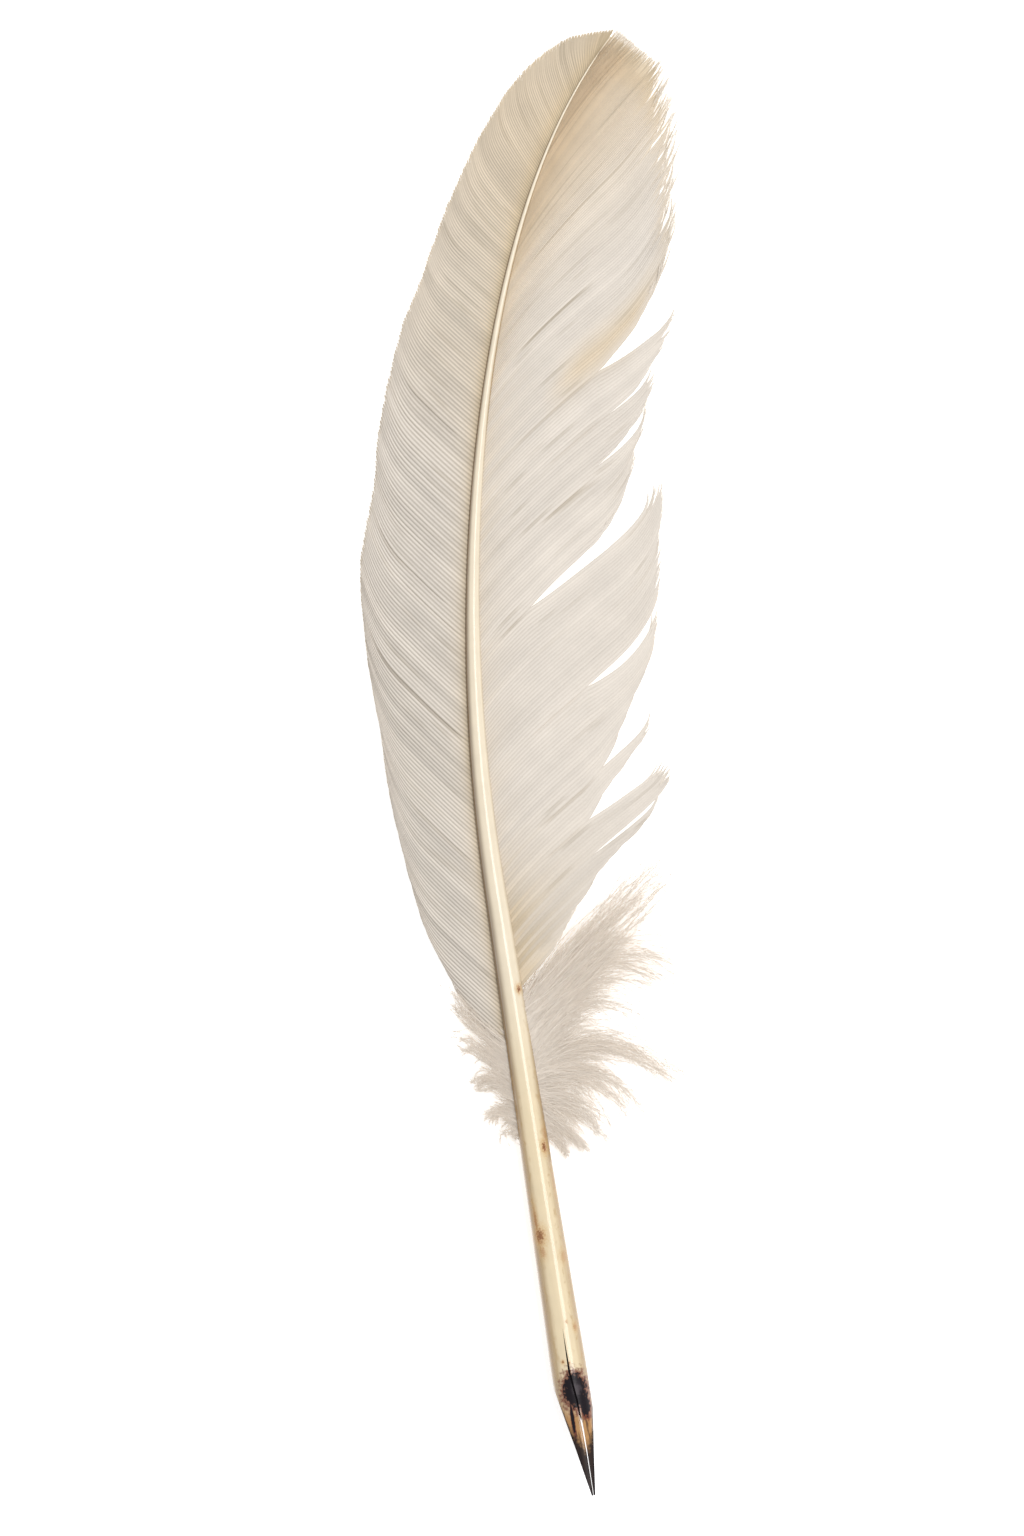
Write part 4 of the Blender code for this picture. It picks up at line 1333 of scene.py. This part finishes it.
class FEATHER_OT_make_stage(bpy.types.Operator):
    """Make the floor, the soft light and the camera over the feather"""

    bl_idname = "feather.make_stage"
    bl_label = "Make the stage"

    def execute(self, context):
        settings = context.scene.feather_stage
        scene = context.scene
        bpy.ops.object.select_all(action="DESELECT")
        bpy.ops.mesh.primitive_plane_add(size=FLOOR_SIZE, location=(0, 0, -FLOOR_DEPTH))
        floor = context.object
        floor.name = "floor"
        bpy.ops.object.transform_apply(location=True)
        finish = Finish("floor")
        speckle = finish.noise(finish.place(), 0.05, 2.0)
        colour = finish.scale_colour(settings.floor, 0.99 + speckle * 0.01)
        glow = {"Emission Color": (1, 1, 1, 1), "Emission Strength": FLOOR_GLOW}
        floor.data.materials.append(finish.finish(colour, 0.9, glow))

        sky = bpy.data.worlds.new("studio")
        sky.use_nodes = True
        background = sky.node_tree.nodes["Background"]
        background.inputs["Color"].default_value = (1, 1, 1, 1)
        background.inputs["Strength"].default_value = settings.sky
        scene.world = sky

        lamp = bpy.data.lights.new("softbox", "AREA")
        lamp.shape = "RECTANGLE"
        lamp.size, lamp.size_y = LAMP_SIZE
        lamp.energy = settings.lamp_power
        holder = bpy.data.objects.new("softbox", lamp)
        holder.location = LAMP_PLACE
        holder.rotation_euler = (0, math.atan2(LAMP_PLACE[0], LAMP_PLACE[2]), 0)
        scene.collection.objects.link(holder)

        camera = bpy.data.cameras.new("camera")
        camera.lens = settings.lens
        camera.sensor_width = SENSOR
        camera.clip_start = 0.01
        eye = bpy.data.objects.new("camera", camera)
        distance = PICTURE_HEIGHT * settings.lens / SENSOR
        middle = (NIB[0] + PICTURE_MIDDLE[0], NIB[1] + PICTURE_MIDDLE[1])
        eye.location = (*middle, distance + FOCUS_HEIGHT)
        eye.rotation_euler = (0, 0, -settings.tilt)
        scene.collection.objects.link(eye)
        scene.camera = eye
        scene.view_settings.view_transform = "Standard"
        return {"FINISHED"}


class FEATHER_OT_make_shaft(bpy.types.Operator):
    """Make the horn barrel with its pen cut, and the rachis that runs on from it"""

    bl_idname = "feather.make_shaft"
    bl_label = "Make the shaft"

    def execute(self, context):
        settings = context.scene.feather_shaft
        finish_piece(make_shaft_piece(settings), horn_finish(settings))
        # The dark sheet under the slit stands in for the shade inside the barrel.
        make_slit_shade_sheet(settings)
        return {"FINISHED"}


class FEATHER_OT_make_vanes(bpy.types.Operator):
    """Make the barbs of the narrow left vane and of the wide right one"""

    bl_idname = "feather.make_vanes"
    bl_label = "Make the vanes"

    def execute(self, context):
        settings = context.scene.feather_vane
        finish = vane_finish(settings)
        for side in (-1, 1):
            make_vane(side, settings, finish)
        return {"FINISHED"}


class FEATHER_OT_make_fringes(bpy.types.Operator):
    """Make the loose hairs at the frayed ends of both vanes"""

    bl_idname = "feather.make_fringes"
    bl_label = "Make the fringes"

    def execute(self, context):
        settings = context.scene.feather_vane
        finish = hair_finish("fringe", settings.hair_root, settings.hair, FRINGE_GLOW)
        for side in (-1, 1):
            make_fringe(side, settings, finish)
        return {"FINISHED"}


class FEATHER_OT_make_down(bpy.types.Operator):
    """Make the fluff below both vanes"""

    bl_idname = "feather.make_down"
    bl_label = "Make the down"

    def execute(self, context):
        settings = context.scene.feather_down
        finish = hair_finish("down", settings.fluff, settings.stem, DOWN_GLOW)
        make_undercoat("undercoat_right", RIGHT_TUFTS, 2.3, settings.undercoat, 61, finish)
        make_undercoat("undercoat_left", LEFT_TUFTS, 0, settings.undercoat // 3, 62, finish)
        for name, tufts, reach, seed, fullness in DOWN_PIECES:
            make_down(name, tufts, reach, settings, seed, fullness, finish)
        return {"FINISHED"}


class FEATHER_PT_pieces(bpy.types.Panel):
    """The feather's pieces and their settings"""

    bl_label = "Feather"
    bl_idname = "FEATHER_PT_pieces"
    bl_space_type = "VIEW_3D"
    bl_region_type = "UI"
    bl_category = "Feather"

    def draw(self, context):
        for name, operators in GROUPS:
            box = self.layout.box()
            for operator in operators:
                box.operator(operator)
            settings = getattr(context.scene, name)
            for key in settings.__annotations__:
                box.prop(settings, key)


GROUPS = (
    ("feather_stage", ("feather.make_stage",)),
    ("feather_shaft", ("feather.make_shaft",)),
    ("feather_vane", ("feather.make_vanes", "feather.make_fringes")),
    ("feather_down", ("feather.make_down",)),
)
SETTINGS = {
    "feather_stage": StageSettings,
    "feather_shaft": ShaftSettings,
    "feather_vane": VaneSettings,
    "feather_down": DownSettings,
}
CLASSES = (
    FEATHER_OT_make_stage,
    FEATHER_OT_make_shaft,
    FEATHER_OT_make_vanes,
    FEATHER_OT_make_fringes,
    FEATHER_OT_make_down,
    FEATHER_PT_pieces,
)


def register():
    for name, group in SETTINGS.items():
        bpy.utils.register_class(group)
        setattr(bpy.types.Scene, name, bpy.props.PointerProperty(type=group))
    for each in CLASSES:
        bpy.utils.register_class(each)


def unregister():
    for each in reversed(CLASSES):
        bpy.utils.unregister_class(each)
    for name, group in SETTINGS.items():
        delattr(bpy.types.Scene, name)
        bpy.utils.unregister_class(group)


def main():
    register()
    bpy.ops.feather.make_stage()
    bpy.ops.feather.make_shaft()
    bpy.ops.feather.make_vanes()
    bpy.ops.feather.make_fringes()
    bpy.ops.feather.make_down()


if __name__ == "__main__":
    main()
